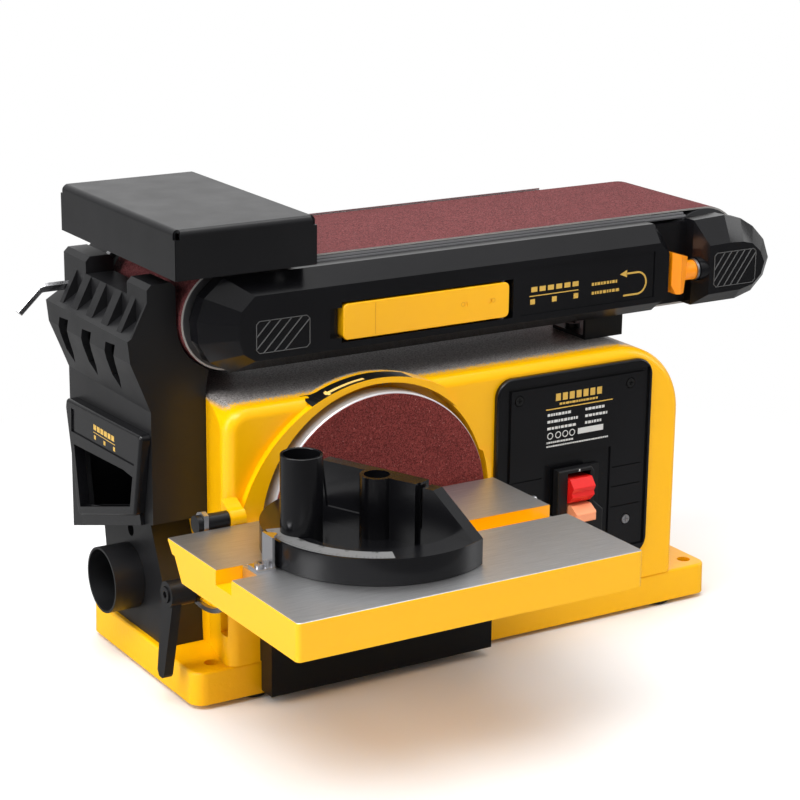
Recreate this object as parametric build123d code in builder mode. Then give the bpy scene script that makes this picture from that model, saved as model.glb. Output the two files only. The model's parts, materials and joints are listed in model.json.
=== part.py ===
"""Bench belt and disc sander: a 100 x 914 mm belt on a tilting arm and a 150 mm disc with a table.

Frame: +X to the right along the belt, +Y away from the operator, +Z up.
The origin is the centre of the four bench bolt holes, on the underside of the base casting.
All sizes are millimetres.
"""
from build123d import *
from math import atan2, cos, degrees, pi, radians, sin, sqrt
import os

# ---------------------------------------------------------------- driving dimensions
RUN = 0.05                      # radial clearance of a running fit
GAP = 0.1                       # gap between pieces that only rest on each other
WALL = 3.5                      # wall of the cast housing
SHEET = 2.0                     # thickness of the folded steel sheet

BASE_X = (-199.0, 192.0)
BASE_Y = (-73.0, 77.0)
BASE_H = 21.0
BOLT_X = 181.0                  # bench bolt holes stand at +/- this x
BOLT_Y = 59.5
BOLT_R = 4.5
FOOT_DROP = 3.0                 # the rubber feet stand this far below the casting

BODY_LEFT = -169.0
BODY_LEFT_FRONT = -176.0        # the housing is wider at its front left corner
BODY_RIGHT = 161.0
BODY_FRONT = -73.5
BODY_BACK = 73.0
BODY_TOP = 182.0
BODY_CORNER = 48.0              # radius of the top right corner
LEFT_CORNER = 14.0              # radius of the top left corner

DISC_X = -75.0                  # the disc and motor axis, along Y
DISC_Z = 105.5
DISC_FACE = -82.5               # front of the abrasive disc
DISC_R = 75.0
PAPER = 1.0
PLATE_R = 76.0
PLATE_T = 12.0
OPENING_R = 81.0                # opening in the housing round the disc
RING_FRONT = -78.0
RING_BACK = -61.0
CHAMBER_BACK = -60.0
BULKHEAD_T = 3.0

DRUM_X = -154.0                 # the drive drum axis, which is also the pivot of the belt arm
DRUM_Z = 228.0
DRUM_R = 31.0
BELT_T = 1.2
BELT_W = 100.0
BELT_LOOP = 914.0
BELT_Y = (-36.0, -36.0 + BELT_W)
BELT_MID_R = DRUM_R + RUN + BELT_T / 2
IDLER_X = DRUM_X + (BELT_LOOP - 2 * pi * BELT_MID_R) / 2
BELT_TOP = DRUM_Z + DRUM_R + RUN + BELT_T
TENSION_TRAVEL = 8.0            # the idler moves in by this much when the belt is released

SHAFT_R = 6.0
BEARING_OUT_R = 14.0
BEARING_W = 8.0
MOTOR_SHAFT_R = 7.5
MOTOR_BEARING_R = 17.5
MOTOR_BEARING_W = 11.0
MOTOR_PULLEY_R = 19.4           # 24 teeth of 5.08 mm pitch
DRUM_PULLEY_R = 25.87           # 32 teeth of 5.08 mm pitch
PULLEY_Y = (87.0, 101.0)
DRIVE_BELT_T = 2.2

TABLE_X = (-222.0, 4.5)
TABLE_Y = (-240.5, -86.5)
TABLE_TOP = 116.7
TABLE_PLATE = 8.0
TABLE_SKIRT = 22.0
SKIRT_T = 4.0
SKIRT_BACK = 18.0               # the skirt ends this far ahead of the table's back edge
SLOT_Y = -156.5                 # centre line of the mitre slot
SLOT_W = 19.0
SLOT_D = 9.0
PIVOT_Y = -80.0                 # axis the table tilts about
PIVOT_Z = 119.0
QUADRANT_R = 47.0               # radius of the arc slots round the table pivot

COVER_Y = (-63.0, -42.0)        # front and back of the belt arm's front cover
COVER_BEVEL_Y = -52.0
COVER_TOP = 257.0
COVER_BOTTOM = 199.0
ARM_PLATE_Y = (66.5, 72.5)
PANEL_Y = 76.0                  # back of the rear panel
BRACKET_BACK = 81.0             # back of the drum bracket

HOOD_Y = (-33.0, 86.0)
HOOD_LEFT = -205.5
HOOD_WALL = 3.0
PORT_Y = 23.0
PORT_Z = 53.5
PORT_R = 21.0
PORT_BORE = 19.5

MITRE_X = -123.5                # pivot of the mitre head
MITRE_ANGLE = 23.0              # the head stands turned by this angle at rest
MITRE_R = 67.0

SWITCH_X = (63.7, 81.0)           # width of the rocker

os.makedirs("parts", exist_ok=True)


# ---------------------------------------------------------------- helpers
def save(builder, name):
    """Label a finished piece and write it as a STEP file."""
    builder.part.label = name
    export_step(builder.part, f"parts/{name}.step")


def block(x, y, z, mode=Mode.ADD):
    """Add an axis-aligned box given by its low and high corners along each axis."""
    centre = tuple((low + high) / 2 for low, high in (x, y, z))
    with Locations(centre):
        Box(abs(x[1] - x[0]), abs(y[1] - y[0]), abs(z[1] - z[0]), mode=mode)


def rod(direction, ends, at, radius, mode=Mode.ADD):
    """Add a round bar along X, Y or Z from ends[0] to ends[1]; at holds the two other coordinates."""
    middle = (ends[0] + ends[1]) / 2
    turn = {"X": (0, 90, 0), "Y": (90, 0, 0), "Z": (0, 0, 0)}[direction]
    place = {"X": (middle, *at), "Y": (at[0], middle, at[1]), "Z": (*at, middle)}[direction]
    with Locations(place):
        Cylinder(radius, ends[1] - ends[0], rotation=turn, mode=mode)


def ring(direction, ends, at, outer, inner):
    """Add a tube, then cut its bore."""
    rod(direction, ends, at, outer)
    rod(direction, ends, at, inner, mode=Mode.SUBTRACT)


def at_y(y):
    """The plane facing the operator at this y: local x is X and local y is Z."""
    return Plane.XZ.offset(-y)


def front_slab(points, y, mode=Mode.ADD):
    """Extrude an (x, z) outline between two y values."""
    with BuildSketch(at_y(y[0])) as outline:
        with BuildLine():
            Polyline(*points, close=True)
        make_face()
    extrude(outline.sketch, amount=-(y[1] - y[0]), mode=mode)


def side_slab(points, x, mode=Mode.ADD):
    """Extrude a (y, z) outline between two x values."""
    with BuildSketch(Plane.YZ.offset(x[0])) as outline:
        with BuildLine():
            Polyline(*points, close=True)
        make_face()
    extrude(outline.sketch, amount=x[1] - x[0], mode=mode)


def polar(centre, radius, angle):
    """The point at this distance and angle (degrees) from a centre."""
    return (centre[0] + radius * cos(radians(angle)), centre[1] + radius * sin(radians(angle)))


def capsule(y, first, first_r, second, second_r, mode=Mode.ADD):
    """Extrude the hull of two circles, each at an (x, z) centre, between two y values."""
    dx = second[0] - first[0]
    dz = second[1] - first[1]
    along = degrees(atan2(dz, dx))
    spread = degrees(atan2(sqrt(dx * dx + dz * dz - (first_r - second_r) ** 2), first_r - second_r))
    with BuildSketch(at_y(y[0])) as outline:
        with BuildLine():
            Polyline(polar(first, first_r, along + spread), polar(second, second_r, along + spread),
                     polar(second, second_r, along - spread), polar(first, first_r, along - spread),
                     close=True)
        make_face()
        with Locations(first):
            Circle(first_r)
        with Locations(second):
            Circle(second_r)
    extrude(outline.sketch, amount=-(y[1] - y[0]), mode=mode)


def pan_head(direction, face, at, radius, outward):
    """Add a pan-head screw: a domed head with a cross recess, standing on face and facing outward."""
    height = radius * 0.62
    head = sorted((face, face + outward * height))
    rod(direction, head, at, radius)
    recess = sorted((face + outward * height * 0.5, face + outward * (height + 1)))
    reach = radius * 0.62
    arm = radius * 0.13
    for long_side, short_side in ((reach, arm), (arm, reach)):
        spans = [(at[0] - long_side, at[0] + long_side), (at[1] - short_side, at[1] + short_side)]
        order = {"X": (recess, *spans), "Y": (spans[0], recess, spans[1]), "Z": (*spans, recess)}
        block(*order[direction], mode=Mode.SUBTRACT)


def shank(direction, face, at, radius, length, outward):
    """Add a screw's shank, going inward from its seating face."""
    rod(direction, sorted((face, face - outward * length)), at, radius)


# ---------------------------------------------------------------- base and housing
with BuildPart() as base_casting:
    with BuildSketch() as plan:
        with Locations(((BASE_X[0] + BASE_X[1]) / 2, (BASE_Y[0] + BASE_Y[1]) / 2)):
            RectangleRounded(BASE_X[1] - BASE_X[0], BASE_Y[1] - BASE_Y[0], 9)
    extrude(amount=BASE_H, taper=1.0)
    fillet(base_casting.faces().sort_by(Axis.Z)[-1].edges(), 1.8)
    block((BASE_X[0] + 40, BASE_X[1] - 40), (BASE_Y[0] + 12, BASE_Y[1] - 12), (-1, BASE_H - 5),
          Mode.SUBTRACT)
    with GridLocations(2 * BOLT_X, 2 * BOLT_Y, 2, 2):
        Hole(BOLT_R)
    with GridLocations(2 * BOLT_X - 52, 2 * BOLT_Y + 6, 2, 2):
        Cylinder(9.1, 2 * 3.0, mode=Mode.SUBTRACT)
save(base_casting, "base_casting")

with BuildPart() as rubber_feet:
    with BuildSketch(Plane.XY.offset(-FOOT_DROP)):
        with GridLocations(2 * BOLT_X - 52, 2 * BOLT_Y + 6, 2, 2):
            Circle(9.0)
    extrude(amount=FOOT_DROP + 3.0 - GAP)
    chamfer(rubber_feet.faces().group_by(Axis.Z)[0].edges(), 0.8)
save(rubber_feet, "rubber_feet")

RING_ARC = (DISC_X, 92.0)       # the outer edge of the raised ring is not concentric with the disc
RING_ARC_R = 98.0
RING_FOOT = 88.0                # below this height the lower guard takes the ring's place
EAR_R = 6.2                     # the tilting table's back edge sweeps round just outside the ear
ear_x = (-180.0, -170.0)
lug_x = (8.3, 12.2)
STUD_ANGLE = 40.0               # the right guide stud, measured forward from straight below the pivot
stud = (PIVOT_Y - QUADRANT_R * sin(radians(STUD_ANGLE)), PIVOT_Z - QUADRANT_R * cos(radians(STUD_ANGLE)))
LOCK_ANGLE = -16.0
lock = (PIVOT_Y - QUADRANT_R * sin(radians(LOCK_ANGLE)), PIVOT_Z - QUADRANT_R * cos(radians(LOCK_ANGLE)))
left_bracket_x = (-197.4, -194.4)
right_bracket_x = (TABLE_X[1], TABLE_X[1] + 3.0)
lock_boss_x = (left_bracket_x[1] + 0.2, BODY_LEFT + 0.5)
BRACKET_SCREW = (112.0, -17.0)
PANEL_SCREWS = ((116.2, 66.8), (29.0, 66.8), (116.2, 160.0), (29.0, 160.0))

with BuildPart() as body_housing:
    with BuildSketch(at_y(BODY_FRONT)) as front_outline:
        with BuildLine():
            Line((BODY_LEFT_FRONT, BASE_H + GAP), (BODY_LEFT_FRONT, BODY_TOP - LEFT_CORNER))
            RadiusArc((BODY_LEFT_FRONT, BODY_TOP - LEFT_CORNER), (BODY_LEFT_FRONT + LEFT_CORNER, BODY_TOP),
                      LEFT_CORNER)
            Line((BODY_LEFT_FRONT + LEFT_CORNER, BODY_TOP), (BODY_RIGHT - BODY_CORNER, BODY_TOP))
            RadiusArc((BODY_RIGHT - BODY_CORNER, BODY_TOP), (BODY_RIGHT, BODY_TOP - BODY_CORNER),
                      BODY_CORNER)
            Polyline((BODY_RIGHT, BODY_TOP - BODY_CORNER), (BODY_RIGHT, BASE_H + GAP),
                     (BODY_LEFT_FRONT, BASE_H + GAP))
        make_face()
    extrude(amount=-(BODY_BACK - BODY_FRONT))
    fillet(body_housing.faces().sort_by(Axis.Y)[0].edges().filter_by(
        lambda edge: edge.center().Z > BASE_H + 2), 7)
    with BuildSketch(Plane.XY.offset(BASE_H)) as side_relief:
        with BuildLine():
            Polyline((BODY_LEFT_FRONT - 5, BODY_FRONT + 9), (BODY_LEFT_FRONT, BODY_FRONT + 9),
                     (BODY_LEFT, HOOD_Y[0] - 1),
                     (BODY_LEFT, BODY_BACK + 1), (BODY_LEFT_FRONT - 5, BODY_BACK + 1), close=True)
        make_face()
    extrude(amount=BODY_TOP, mode=Mode.SUBTRACT)
    with BuildSketch(at_y(BODY_FRONT + WALL)) as cavity:
        with BuildLine():
            Polyline((BODY_LEFT + WALL, BASE_H - 1), (BODY_LEFT + WALL, BODY_TOP - 17),
                     (-156.0, BODY_TOP - WALL),
                     (BODY_RIGHT - BODY_CORNER, BODY_TOP - WALL))
            RadiusArc((BODY_RIGHT - BODY_CORNER, BODY_TOP - WALL),
                      (BODY_RIGHT - WALL, BODY_TOP - BODY_CORNER),
                      BODY_CORNER - WALL)
            Polyline((BODY_RIGHT - WALL, BODY_TOP - BODY_CORNER), (BODY_RIGHT - WALL, BASE_H - 1),
                     (BODY_LEFT + WALL, BASE_H - 1))
        make_face()
    extrude(amount=-(BODY_BACK - BODY_FRONT), mode=Mode.SUBTRACT)
    # raised ring round the upper half of the disc
    with BuildSketch(at_y(RING_FRONT)) as ring_face:
        with Locations(RING_ARC):
            Circle(RING_ARC_R)
        with Locations((-75.0, RING_FOOT - 60)):
            Rectangle(2 * RING_ARC_R + 10, 120, mode=Mode.SUBTRACT)
        with BuildLine():
            Polyline((-28, 200), (-28, 178), (8, 122), (8, 80), (40, 80), (40, 200), close=True)
        make_face(mode=Mode.SUBTRACT)
    extrude(amount=-(RING_BACK - RING_FRONT))
    # disc chamber: a round well closed by a bulkhead that carries the motor
    rod("Y", (RING_BACK - 12, CHAMBER_BACK + BULKHEAD_T), (DISC_X, DISC_Z), OPENING_R + 3)
    rod("Y", (RING_FRONT - 1, CHAMBER_BACK), (DISC_X, DISC_Z), OPENING_R, mode=Mode.SUBTRACT)
    rod("Y", (CHAMBER_BACK - 1, CHAMBER_BACK + BULKHEAD_T + 1), (DISC_X, DISC_Z), 13, mode=Mode.SUBTRACT)
    # the chamber's lower front is cut back to the housing's face, behind the lower guard
    block((BODY_LEFT_FRONT - 1, BODY_RIGHT + 1), (RING_FRONT - 1, BODY_FRONT - 0.001), (0, RING_FOOT),
          Mode.SUBTRACT)
    # dust passage from the chamber to the hood
    block((BODY_LEFT_FRONT - 2, DISC_X - 60), (CHAMBER_BACK - 10, CHAMBER_BACK - 1), (40, 70),
          Mode.SUBTRACT)
    # openings behind the control panel and for the cord
    block((50, 110), (BODY_FRONT - 1, BODY_FRONT + WALL + 1), (54, 118), Mode.SUBTRACT)
    rod("Z", (BODY_TOP - WALL - 1, BODY_TOP + 1), BRACKET_SCREW, 2.5, mode=Mode.SUBTRACT)
    # ear of the table pivot, lug of the guide stud and boss of the lock bolt
    rod("X", ear_x, (PIVOT_Y, PIVOT_Z), EAR_R)
    side_slab([(BODY_FRONT + 1, PIVOT_Z - EAR_R), (PIVOT_Y, PIVOT_Z - EAR_R), (PIVOT_Y, PIVOT_Z + EAR_R),
               (BODY_FRONT + 1, PIVOT_Z + EAR_R + 4)], ear_x)
    rod("X", (ear_x[0] - 1, ear_x[1] + 1), (PIVOT_Y, PIVOT_Z), 3.0, mode=Mode.SUBTRACT)
    side_slab([(BODY_FRONT + 1, 72), (stud[0] - 6, stud[1] - 7), (stud[0] - 7, stud[1] + 5),
               (BODY_FRONT + 1, 101)], lug_x)
    rod("X", (lug_x[0] - 1, lug_x[1] + 1), stud, 2.6, mode=Mode.SUBTRACT)
    rod("X", lock_boss_x, lock, 7)
    rod("X", (lock_boss_x[0] - 1, BODY_LEFT + WALL + 2), lock, 3.0, mode=Mode.SUBTRACT)
    for screw in PANEL_SCREWS:
        rod("Y", (BODY_FRONT - 1, BODY_FRONT + WALL + 1), screw, 1.55, mode=Mode.SUBTRACT)
save(body_housing, "body_housing")

with BuildPart() as rear_panel:
    with BuildSketch(at_y(BODY_BACK)) as panel_outline:
        with BuildLine():
            Polyline((BODY_LEFT, BASE_H + GAP), (BODY_LEFT, BODY_TOP - 12), (BODY_LEFT + 12, BODY_TOP),
                     (BODY_RIGHT - BODY_CORNER, BODY_TOP))
            RadiusArc((BODY_RIGHT - BODY_CORNER, BODY_TOP), (BODY_RIGHT, BODY_TOP - BODY_CORNER),
                      BODY_CORNER)
            Polyline((BODY_RIGHT, BODY_TOP - BODY_CORNER), (BODY_RIGHT, BASE_H + GAP),
                     (BODY_LEFT, BASE_H + GAP))
        make_face()
    extrude(amount=-(PANEL_Y - BODY_BACK))
    rod("Y", (BODY_BACK - 1, PANEL_Y + 1), (DISC_X, DISC_Z), 12, mode=Mode.SUBTRACT)
    for row in range(5):
        for column in range(6):
            block((20 + 20 * column, 34 + 20 * column), (BODY_BACK - 1, PANEL_Y + 1),
                  (70 + 14 * row, 75 + 14 * row), Mode.SUBTRACT)
    rod("Y", (BODY_BACK - 1, PANEL_Y + 1), (126, 40), 6, mode=Mode.SUBTRACT)
save(rear_panel, "rear_panel")

# ---------------------------------------------------------------- motor
MOTOR_Y = (-57.0, 62.0)         # front and back of the motor's end shells
MOTOR_R = 56.0
with BuildPart() as motor_shell:
    ring("Y", MOTOR_Y, (DISC_X, DISC_Z), MOTOR_R, MOTOR_R - 3)
    rod("Y", (MOTOR_Y[0], MOTOR_Y[0] + 4), (DISC_X, DISC_Z), MOTOR_R)
    rod("Y", (MOTOR_Y[1] - 4, MOTOR_Y[1]), (DISC_X, DISC_Z), MOTOR_R)
    for end, inward in ((MOTOR_Y[0], 1), (MOTOR_Y[1], -1)):
        rod("Y", sorted((end, end + inward * 14)), (DISC_X, DISC_Z), 22)
    rod("Y", (MOTOR_Y[0] - 1, MOTOR_Y[1] + 1), (DISC_X, DISC_Z), MOTOR_BEARING_R, mode=Mode.SUBTRACT)
    for hole in range(8):
        rod("Y", (MOTOR_Y[1] - 5, MOTOR_Y[1] + 1), polar((DISC_X, DISC_Z), 40, 45 * hole), 6,
            mode=Mode.SUBTRACT)
save(motor_shell, "motor_shell")

with BuildPart() as motor_stator:
    ring("Y", (-22.0, 30.0), (DISC_X, DISC_Z), MOTOR_R - 3 - RUN, 30.5)
save(motor_stator, "motor_stator")

with BuildPart() as motor_windings:
    for ends in ((-34.0, -22.0 - GAP), (30.0 + GAP, 42.0)):
        ring("Y", ends, (DISC_X, DISC_Z), 47, 33)
save(motor_windings, "motor_windings")

with BuildPart() as motor_rotor:
    ring("Y", (-24.0, 32.0), (DISC_X, DISC_Z), 30, MOTOR_SHAFT_R)
save(motor_rotor, "motor_rotor")

with BuildPart() as motor_shaft:
    rod("Y", (-70.0, PULLEY_Y[1] + 3), (DISC_X, DISC_Z), MOTOR_SHAFT_R)
save(motor_shaft, "motor_shaft")

with BuildPart() as motor_bearings:
    for start in (MOTOR_Y[0] + 1, MOTOR_Y[1] - 1 - MOTOR_BEARING_W):
        ring("Y", (start, start + MOTOR_BEARING_W), (DISC_X, DISC_Z), MOTOR_BEARING_R, MOTOR_SHAFT_R + RUN)
save(motor_bearings, "motor_bearings")

FAN_Y = (44.0, 46.0)
with BuildPart() as motor_fan:
    ring("Y", FAN_Y, (DISC_X, DISC_Z), 32, MOTOR_SHAFT_R)
    for blade in range(8):
        with Locations(Location((DISC_X, 41.0, DISC_Z), (0, 45 * blade, 0))):
            with Locations((21, 0, 0)):
                Box(20, 7, 1.6)
save(motor_fan, "motor_fan")

# ---------------------------------------------------------------- disc
with BuildPart() as disc_plate:
    rod("Y", (DISC_FACE + PAPER, DISC_FACE + PAPER + PLATE_T), (DISC_X, DISC_Z), PLATE_R)
    rod("Y", (DISC_FACE + PAPER + PLATE_T - 3.5, DISC_FACE + PAPER + PLATE_T + 1), (DISC_X, DISC_Z),
        PLATE_R - 7,
        mode=Mode.SUBTRACT)
    rod("Y", (DISC_FACE + PAPER + PLATE_T - 4, CHAMBER_BACK - 1.5), (DISC_X, DISC_Z), 16)
    rod("Y", (-72.0, CHAMBER_BACK), (DISC_X, DISC_Z), MOTOR_SHAFT_R, mode=Mode.SUBTRACT)
    chamfer(disc_plate.edges().filter_by(GeomType.CIRCLE).sort_by(Axis.Y)[0], 0.8)
save(disc_plate, "disc_plate")

with BuildPart() as sanding_disc:
    rod("Y", (DISC_FACE, DISC_FACE + PAPER), (DISC_X, DISC_Z), DISC_R)
save(sanding_disc, "sanding_disc")

GUARD_X = (-155.0, 4.3)
GUARD_Z = (3.0, 84.0)
GUARD_Y = (-88.0, -75.1)
with BuildPart() as lower_disc_guard:
    side_slab([(GUARD_Y[0], GUARD_Z[0]), (GUARD_Y[1], GUARD_Z[0]), (GUARD_Y[1], BASE_H + 1),
               (BODY_FRONT - GAP, BASE_H + 1), (BODY_FRONT - GAP, GUARD_Z[1]), (GUARD_Y[0] + 6, GUARD_Z[1]),
               (GUARD_Y[0], GUARD_Z[1] - 6)], GUARD_X)
    rod("Y", (GUARD_Y[0] + 2.5, 0), (DISC_X, DISC_Z), OPENING_R - 3, mode=Mode.SUBTRACT)
    block((GUARD_X[0] + 2.5, GUARD_X[1] - 2.5), (GUARD_Y[0] + 2.5, BODY_FRONT), (BASE_H + 4, 70),
          Mode.SUBTRACT)
save(lower_disc_guard, "lower_disc_guard")

# ---------------------------------------------------------------- control panel and switch
PANEL_X = (12.5, 134.5)
PANEL_Z = (40.0, 175.0)
PANEL_FACE = -77.0
FIELD_X = (23.0, 127.4)
FIELD_Z = (50.0, 166.5)
SWITCH_CASE_X = (58.2, 91.8)
SWITCH_CASE_Z = (60.2, 109.8)
with BuildPart() as control_panel:
    with BuildSketch(at_y(PANEL_FACE)):
        with Locations(((PANEL_X[0] + PANEL_X[1]) / 2, (PANEL_Z[0] + PANEL_Z[1]) / 2)):
            RectangleRounded(PANEL_X[1] - PANEL_X[0], PANEL_Z[1] - PANEL_Z[0], 12)
    extrude(amount=-(BODY_FRONT - GAP - PANEL_FACE))
    fillet(control_panel.faces().sort_by(Axis.Y)[0].edges(), 1.6)
    field = ((FIELD_X[0] + FIELD_X[1]) / 2, (FIELD_Z[0] + FIELD_Z[1]) / 2)
    with BuildSketch(at_y(PANEL_FACE - 1)):
        with Locations(field):
            Rectangle(FIELD_X[1] - FIELD_X[0] + 9, FIELD_Z[1] - FIELD_Z[0] + 5)
            Rectangle(FIELD_X[1] - FIELD_X[0], FIELD_Z[1] - FIELD_Z[0], mode=Mode.SUBTRACT)
    extrude(amount=-2.6, mode=Mode.SUBTRACT)
    block((48.6, 102.0), (PANEL_FACE - 1, PANEL_FACE + 1.2), (50.0, 119.0), Mode.SUBTRACT)
    for groove_z in (77.0, 91.0, 104.5):
        block((103.5, 127.4), (PANEL_FACE - 1, PANEL_FACE + 0.8), (groove_z - 0.5, groove_z + 0.5),
              Mode.SUBTRACT)
    block((23.0, 47.5), (PANEL_FACE - 1, PANEL_FACE + 0.8), (105.5, 106.5), Mode.SUBTRACT)
    block((SWITCH_CASE_X[0] - 0.2, SWITCH_CASE_X[1] + 0.2), (PANEL_FACE - 1, BODY_FRONT + 1),
          (SWITCH_CASE_Z[0] - 0.2, SWITCH_CASE_Z[1] + 0.2), Mode.SUBTRACT)
    for screw in PANEL_SCREWS:
        rod("Y", (PANEL_FACE - 1, BODY_FRONT), screw, 1.6, mode=Mode.SUBTRACT)
        rod("Y", (PANEL_FACE - 1, PANEL_FACE + 1.5), screw, 3.6, mode=Mode.SUBTRACT)
save(control_panel, "control_panel")

with BuildPart() as housing_screws:
    for screw in PANEL_SCREWS:
        shank("Y", PANEL_FACE + 1.5, screw, 1.55, 3.4, -1)
        pan_head("Y", PANEL_FACE + 1.5, screw, 3.0, -1)
    rod("Z", (BODY_TOP - 6, BODY_TOP + 2.7), BRACKET_SCREW, 2.5)
    pan_head("Z", BODY_TOP + 2.7, BRACKET_SCREW, 5.0, 1)
save(housing_screws, "housing_screws")

ROCKER_PIVOT = (-74.0, 96.0)    # (y, z) of the switch rocker's pin
KEY_Z = (76.0, 87.0)
with BuildPart() as switch_housing:
    block(SWITCH_CASE_X, (PANEL_FACE - 1.5, -40.0), SWITCH_CASE_Z)
    with BuildSketch(at_y(-84.0)):
        with BuildLine():
            Polyline((56.2, 60.5), (92.6, 60.5), (92.6, 80), (84.7, 87), (84.7, 107.5), (82.2, 110.8),
                     (56.2, 110.8),
                     close=True)
        make_face()
    extrude(amount=-6)
    fillet(switch_housing.faces().sort_by(Axis.Y)[0].edges(), 1.2)
    block((SWITCH_X[0] - 0.4, SWITCH_X[1] + 0.4), (-90, -60.0), (KEY_Z[0] - 1.0, 108.4), Mode.SUBTRACT)
    rod("X", (SWITCH_X[0] - 2, SWITCH_X[1] + 2), ROCKER_PIVOT, 1.5, mode=Mode.SUBTRACT)
save(switch_housing, "switch_housing")

with BuildPart() as switch_rocker:
    side_slab([(-70.0, 88.5), (-84.5, 88.5), (-89.5, 93.5), (-88.5, 96.0), (-90.5, 99.5), (-86.0, 105.0),
               (-70.0, 104.5)], SWITCH_X)
    fillet(switch_rocker.edges().filter_by(Axis.X).group_by(Axis.Y)[0], 1.0)
    rod("X", (SWITCH_X[0] - 1.6, SWITCH_X[1] + 1.6), ROCKER_PIVOT, 1.5 - RUN)
save(switch_rocker, "switch_rocker")

with BuildPart() as safety_key:
    side_slab([(-66.0, KEY_Z[0]), (-88.0, KEY_Z[0]), (-93.5, KEY_Z[0] + 1.5), (-93.5, KEY_Z[1] - 4),
               (-87.0, KEY_Z[1]), (-66.0, KEY_Z[1])], (SWITCH_X[0] + 0.8, SWITCH_X[1] - 0.8))
    fillet(safety_key.faces().sort_by(Axis.Y)[0].edges(), 1.0)
save(safety_key, "safety_key")

# ---------------------------------------------------------------- table
skirt_low = TABLE_TOP - TABLE_SKIRT
with BuildPart() as disc_table:
    side_slab([(TABLE_Y[0], skirt_low), (TABLE_Y[0], TABLE_TOP), (TABLE_Y[1], TABLE_TOP),
               (TABLE_Y[1] - 6, TABLE_TOP - TABLE_PLATE), (TABLE_Y[1] - 9, TABLE_TOP - TABLE_PLATE),
               (TABLE_Y[1] - SKIRT_BACK, skirt_low)], TABLE_X)
    fillet(disc_table.edges().filter_by(Axis.Z), 3.0)
    fillet(disc_table.edges().filter_by(Axis.X).group_by(Axis.Z)[-1].sort_by(Axis.Y)[0], 1.0)
    block((TABLE_X[0] + SKIRT_T, TABLE_X[1] - SKIRT_T), (TABLE_Y[0] + SKIRT_T, TABLE_Y[1] + 1),
          (skirt_low - 1, TABLE_TOP - TABLE_PLATE), Mode.SUBTRACT)
    block(TABLE_X, (SLOT_Y - SLOT_W / 2 - 4, SLOT_Y + SLOT_W / 2 + 4),
          (TABLE_TOP - SLOT_D - 4, TABLE_TOP - 1))
    for rib_x in (-150.0, -107.0, -64.0):
        block((rib_x - 2, rib_x + 2), (TABLE_Y[0] + 1, TABLE_Y[1] - 45), (TABLE_TOP - 15, TABLE_TOP - 4))
    block((TABLE_X[0] - 1, TABLE_X[1] + 1), (SLOT_Y - SLOT_W / 2, SLOT_Y + SLOT_W / 2),
          (TABLE_TOP - SLOT_D, TABLE_TOP + 1), Mode.SUBTRACT)
save(disc_table, "disc_table")


def quadrant(x, first_angle, last_angle, mode=Mode.ADD, half_width=2.6, radius=QUADRANT_R):
    """A curved bar round the table pivot; angles are measured forward from straight below it."""
    with BuildSketch(Plane.YZ.offset(x[0])) as bar:
        with Locations((PIVOT_Y, PIVOT_Z)):
            Circle(radius + half_width)
            Circle(radius - half_width, mode=Mode.SUBTRACT)
        far = 3 * radius
        middle = (first_angle + last_angle) / 2
        with BuildLine():
            Polyline((PIVOT_Y, PIVOT_Z),
                     (PIVOT_Y - far * sin(radians(first_angle)), PIVOT_Z - far * cos(radians(first_angle))),
                     (PIVOT_Y - 2 * far * sin(radians(middle)), PIVOT_Z - 2 * far * cos(radians(middle))),
                     (PIVOT_Y - far * sin(radians(last_angle)), PIVOT_Z - far * cos(radians(last_angle))),
                     close=True)
        make_face(mode=Mode.INTERSECT)
        for end in (first_angle, last_angle):
            with Locations((PIVOT_Y - radius * sin(radians(end)), PIVOT_Z - radius * cos(radians(end)))):
                Circle(half_width)
    extrude(bar.sketch, amount=x[1] - x[0], mode=mode)


TILT = 40.0                     # the table's full tilt
with BuildPart() as table_bracket_left:
    side_slab([(PIVOT_Y - 8, PIVOT_Z - 13), (PIVOT_Y + 7, PIVOT_Z - 13), (PIVOT_Y + 7, PIVOT_Z + 2),
               (PIVOT_Y + 4, PIVOT_Z + 6), (PIVOT_Y - 1, PIVOT_Z + 7.5), (PIVOT_Y - 5, PIVOT_Z + 6),
               (PIVOT_Y - 5, PIVOT_Z - 4.2), (PIVOT_Y - 8, PIVOT_Z - 11)], left_bracket_x)
    side_slab([(-140, TABLE_TOP - TABLE_PLATE - GAP), (-98, TABLE_TOP - TABLE_PLATE - GAP),
               (PIVOT_Y + 6, PIVOT_Z - 12), (PIVOT_Y + 12, PIVOT_Z - QUADRANT_R + 4),
               (PIVOT_Y - 4, PIVOT_Z - QUADRANT_R), (PIVOT_Y - 24, PIVOT_Z - QUADRANT_R + 4)],
              left_bracket_x)
    quadrant(left_bracket_x, LOCK_ANGLE, LOCK_ANGLE + TILT, half_width=6.0)
    block((left_bracket_x[0] - 10, left_bracket_x[1]), (-140, -100),
          (TABLE_TOP - TABLE_PLATE - 3, TABLE_TOP - TABLE_PLATE - GAP))
    quadrant((left_bracket_x[0] - 1, left_bracket_x[1] + 1), LOCK_ANGLE, LOCK_ANGLE + TILT,
             Mode.SUBTRACT, 3.1)
    rod("X", (left_bracket_x[0] - 1, left_bracket_x[1] + 1), (PIVOT_Y, PIVOT_Z), 3.0 + RUN,
        mode=Mode.SUBTRACT)
save(table_bracket_left, "table_bracket_left")

with BuildPart() as table_bracket_right:
    side_slab([(-190, 97.5), (-190, 108), (-125, 108), (-125, 97.5)], right_bracket_x)
    quadrant(right_bracket_x, STUD_ANGLE, STUD_ANGLE + TILT, half_width=5.0)
    block(right_bracket_x, (-135, -118), (96, 108))
    quadrant((right_bracket_x[0] - 1, right_bracket_x[1] + 1), STUD_ANGLE, STUD_ANGLE + TILT, Mode.SUBTRACT)
save(table_bracket_right, "table_bracket_right")

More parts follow.
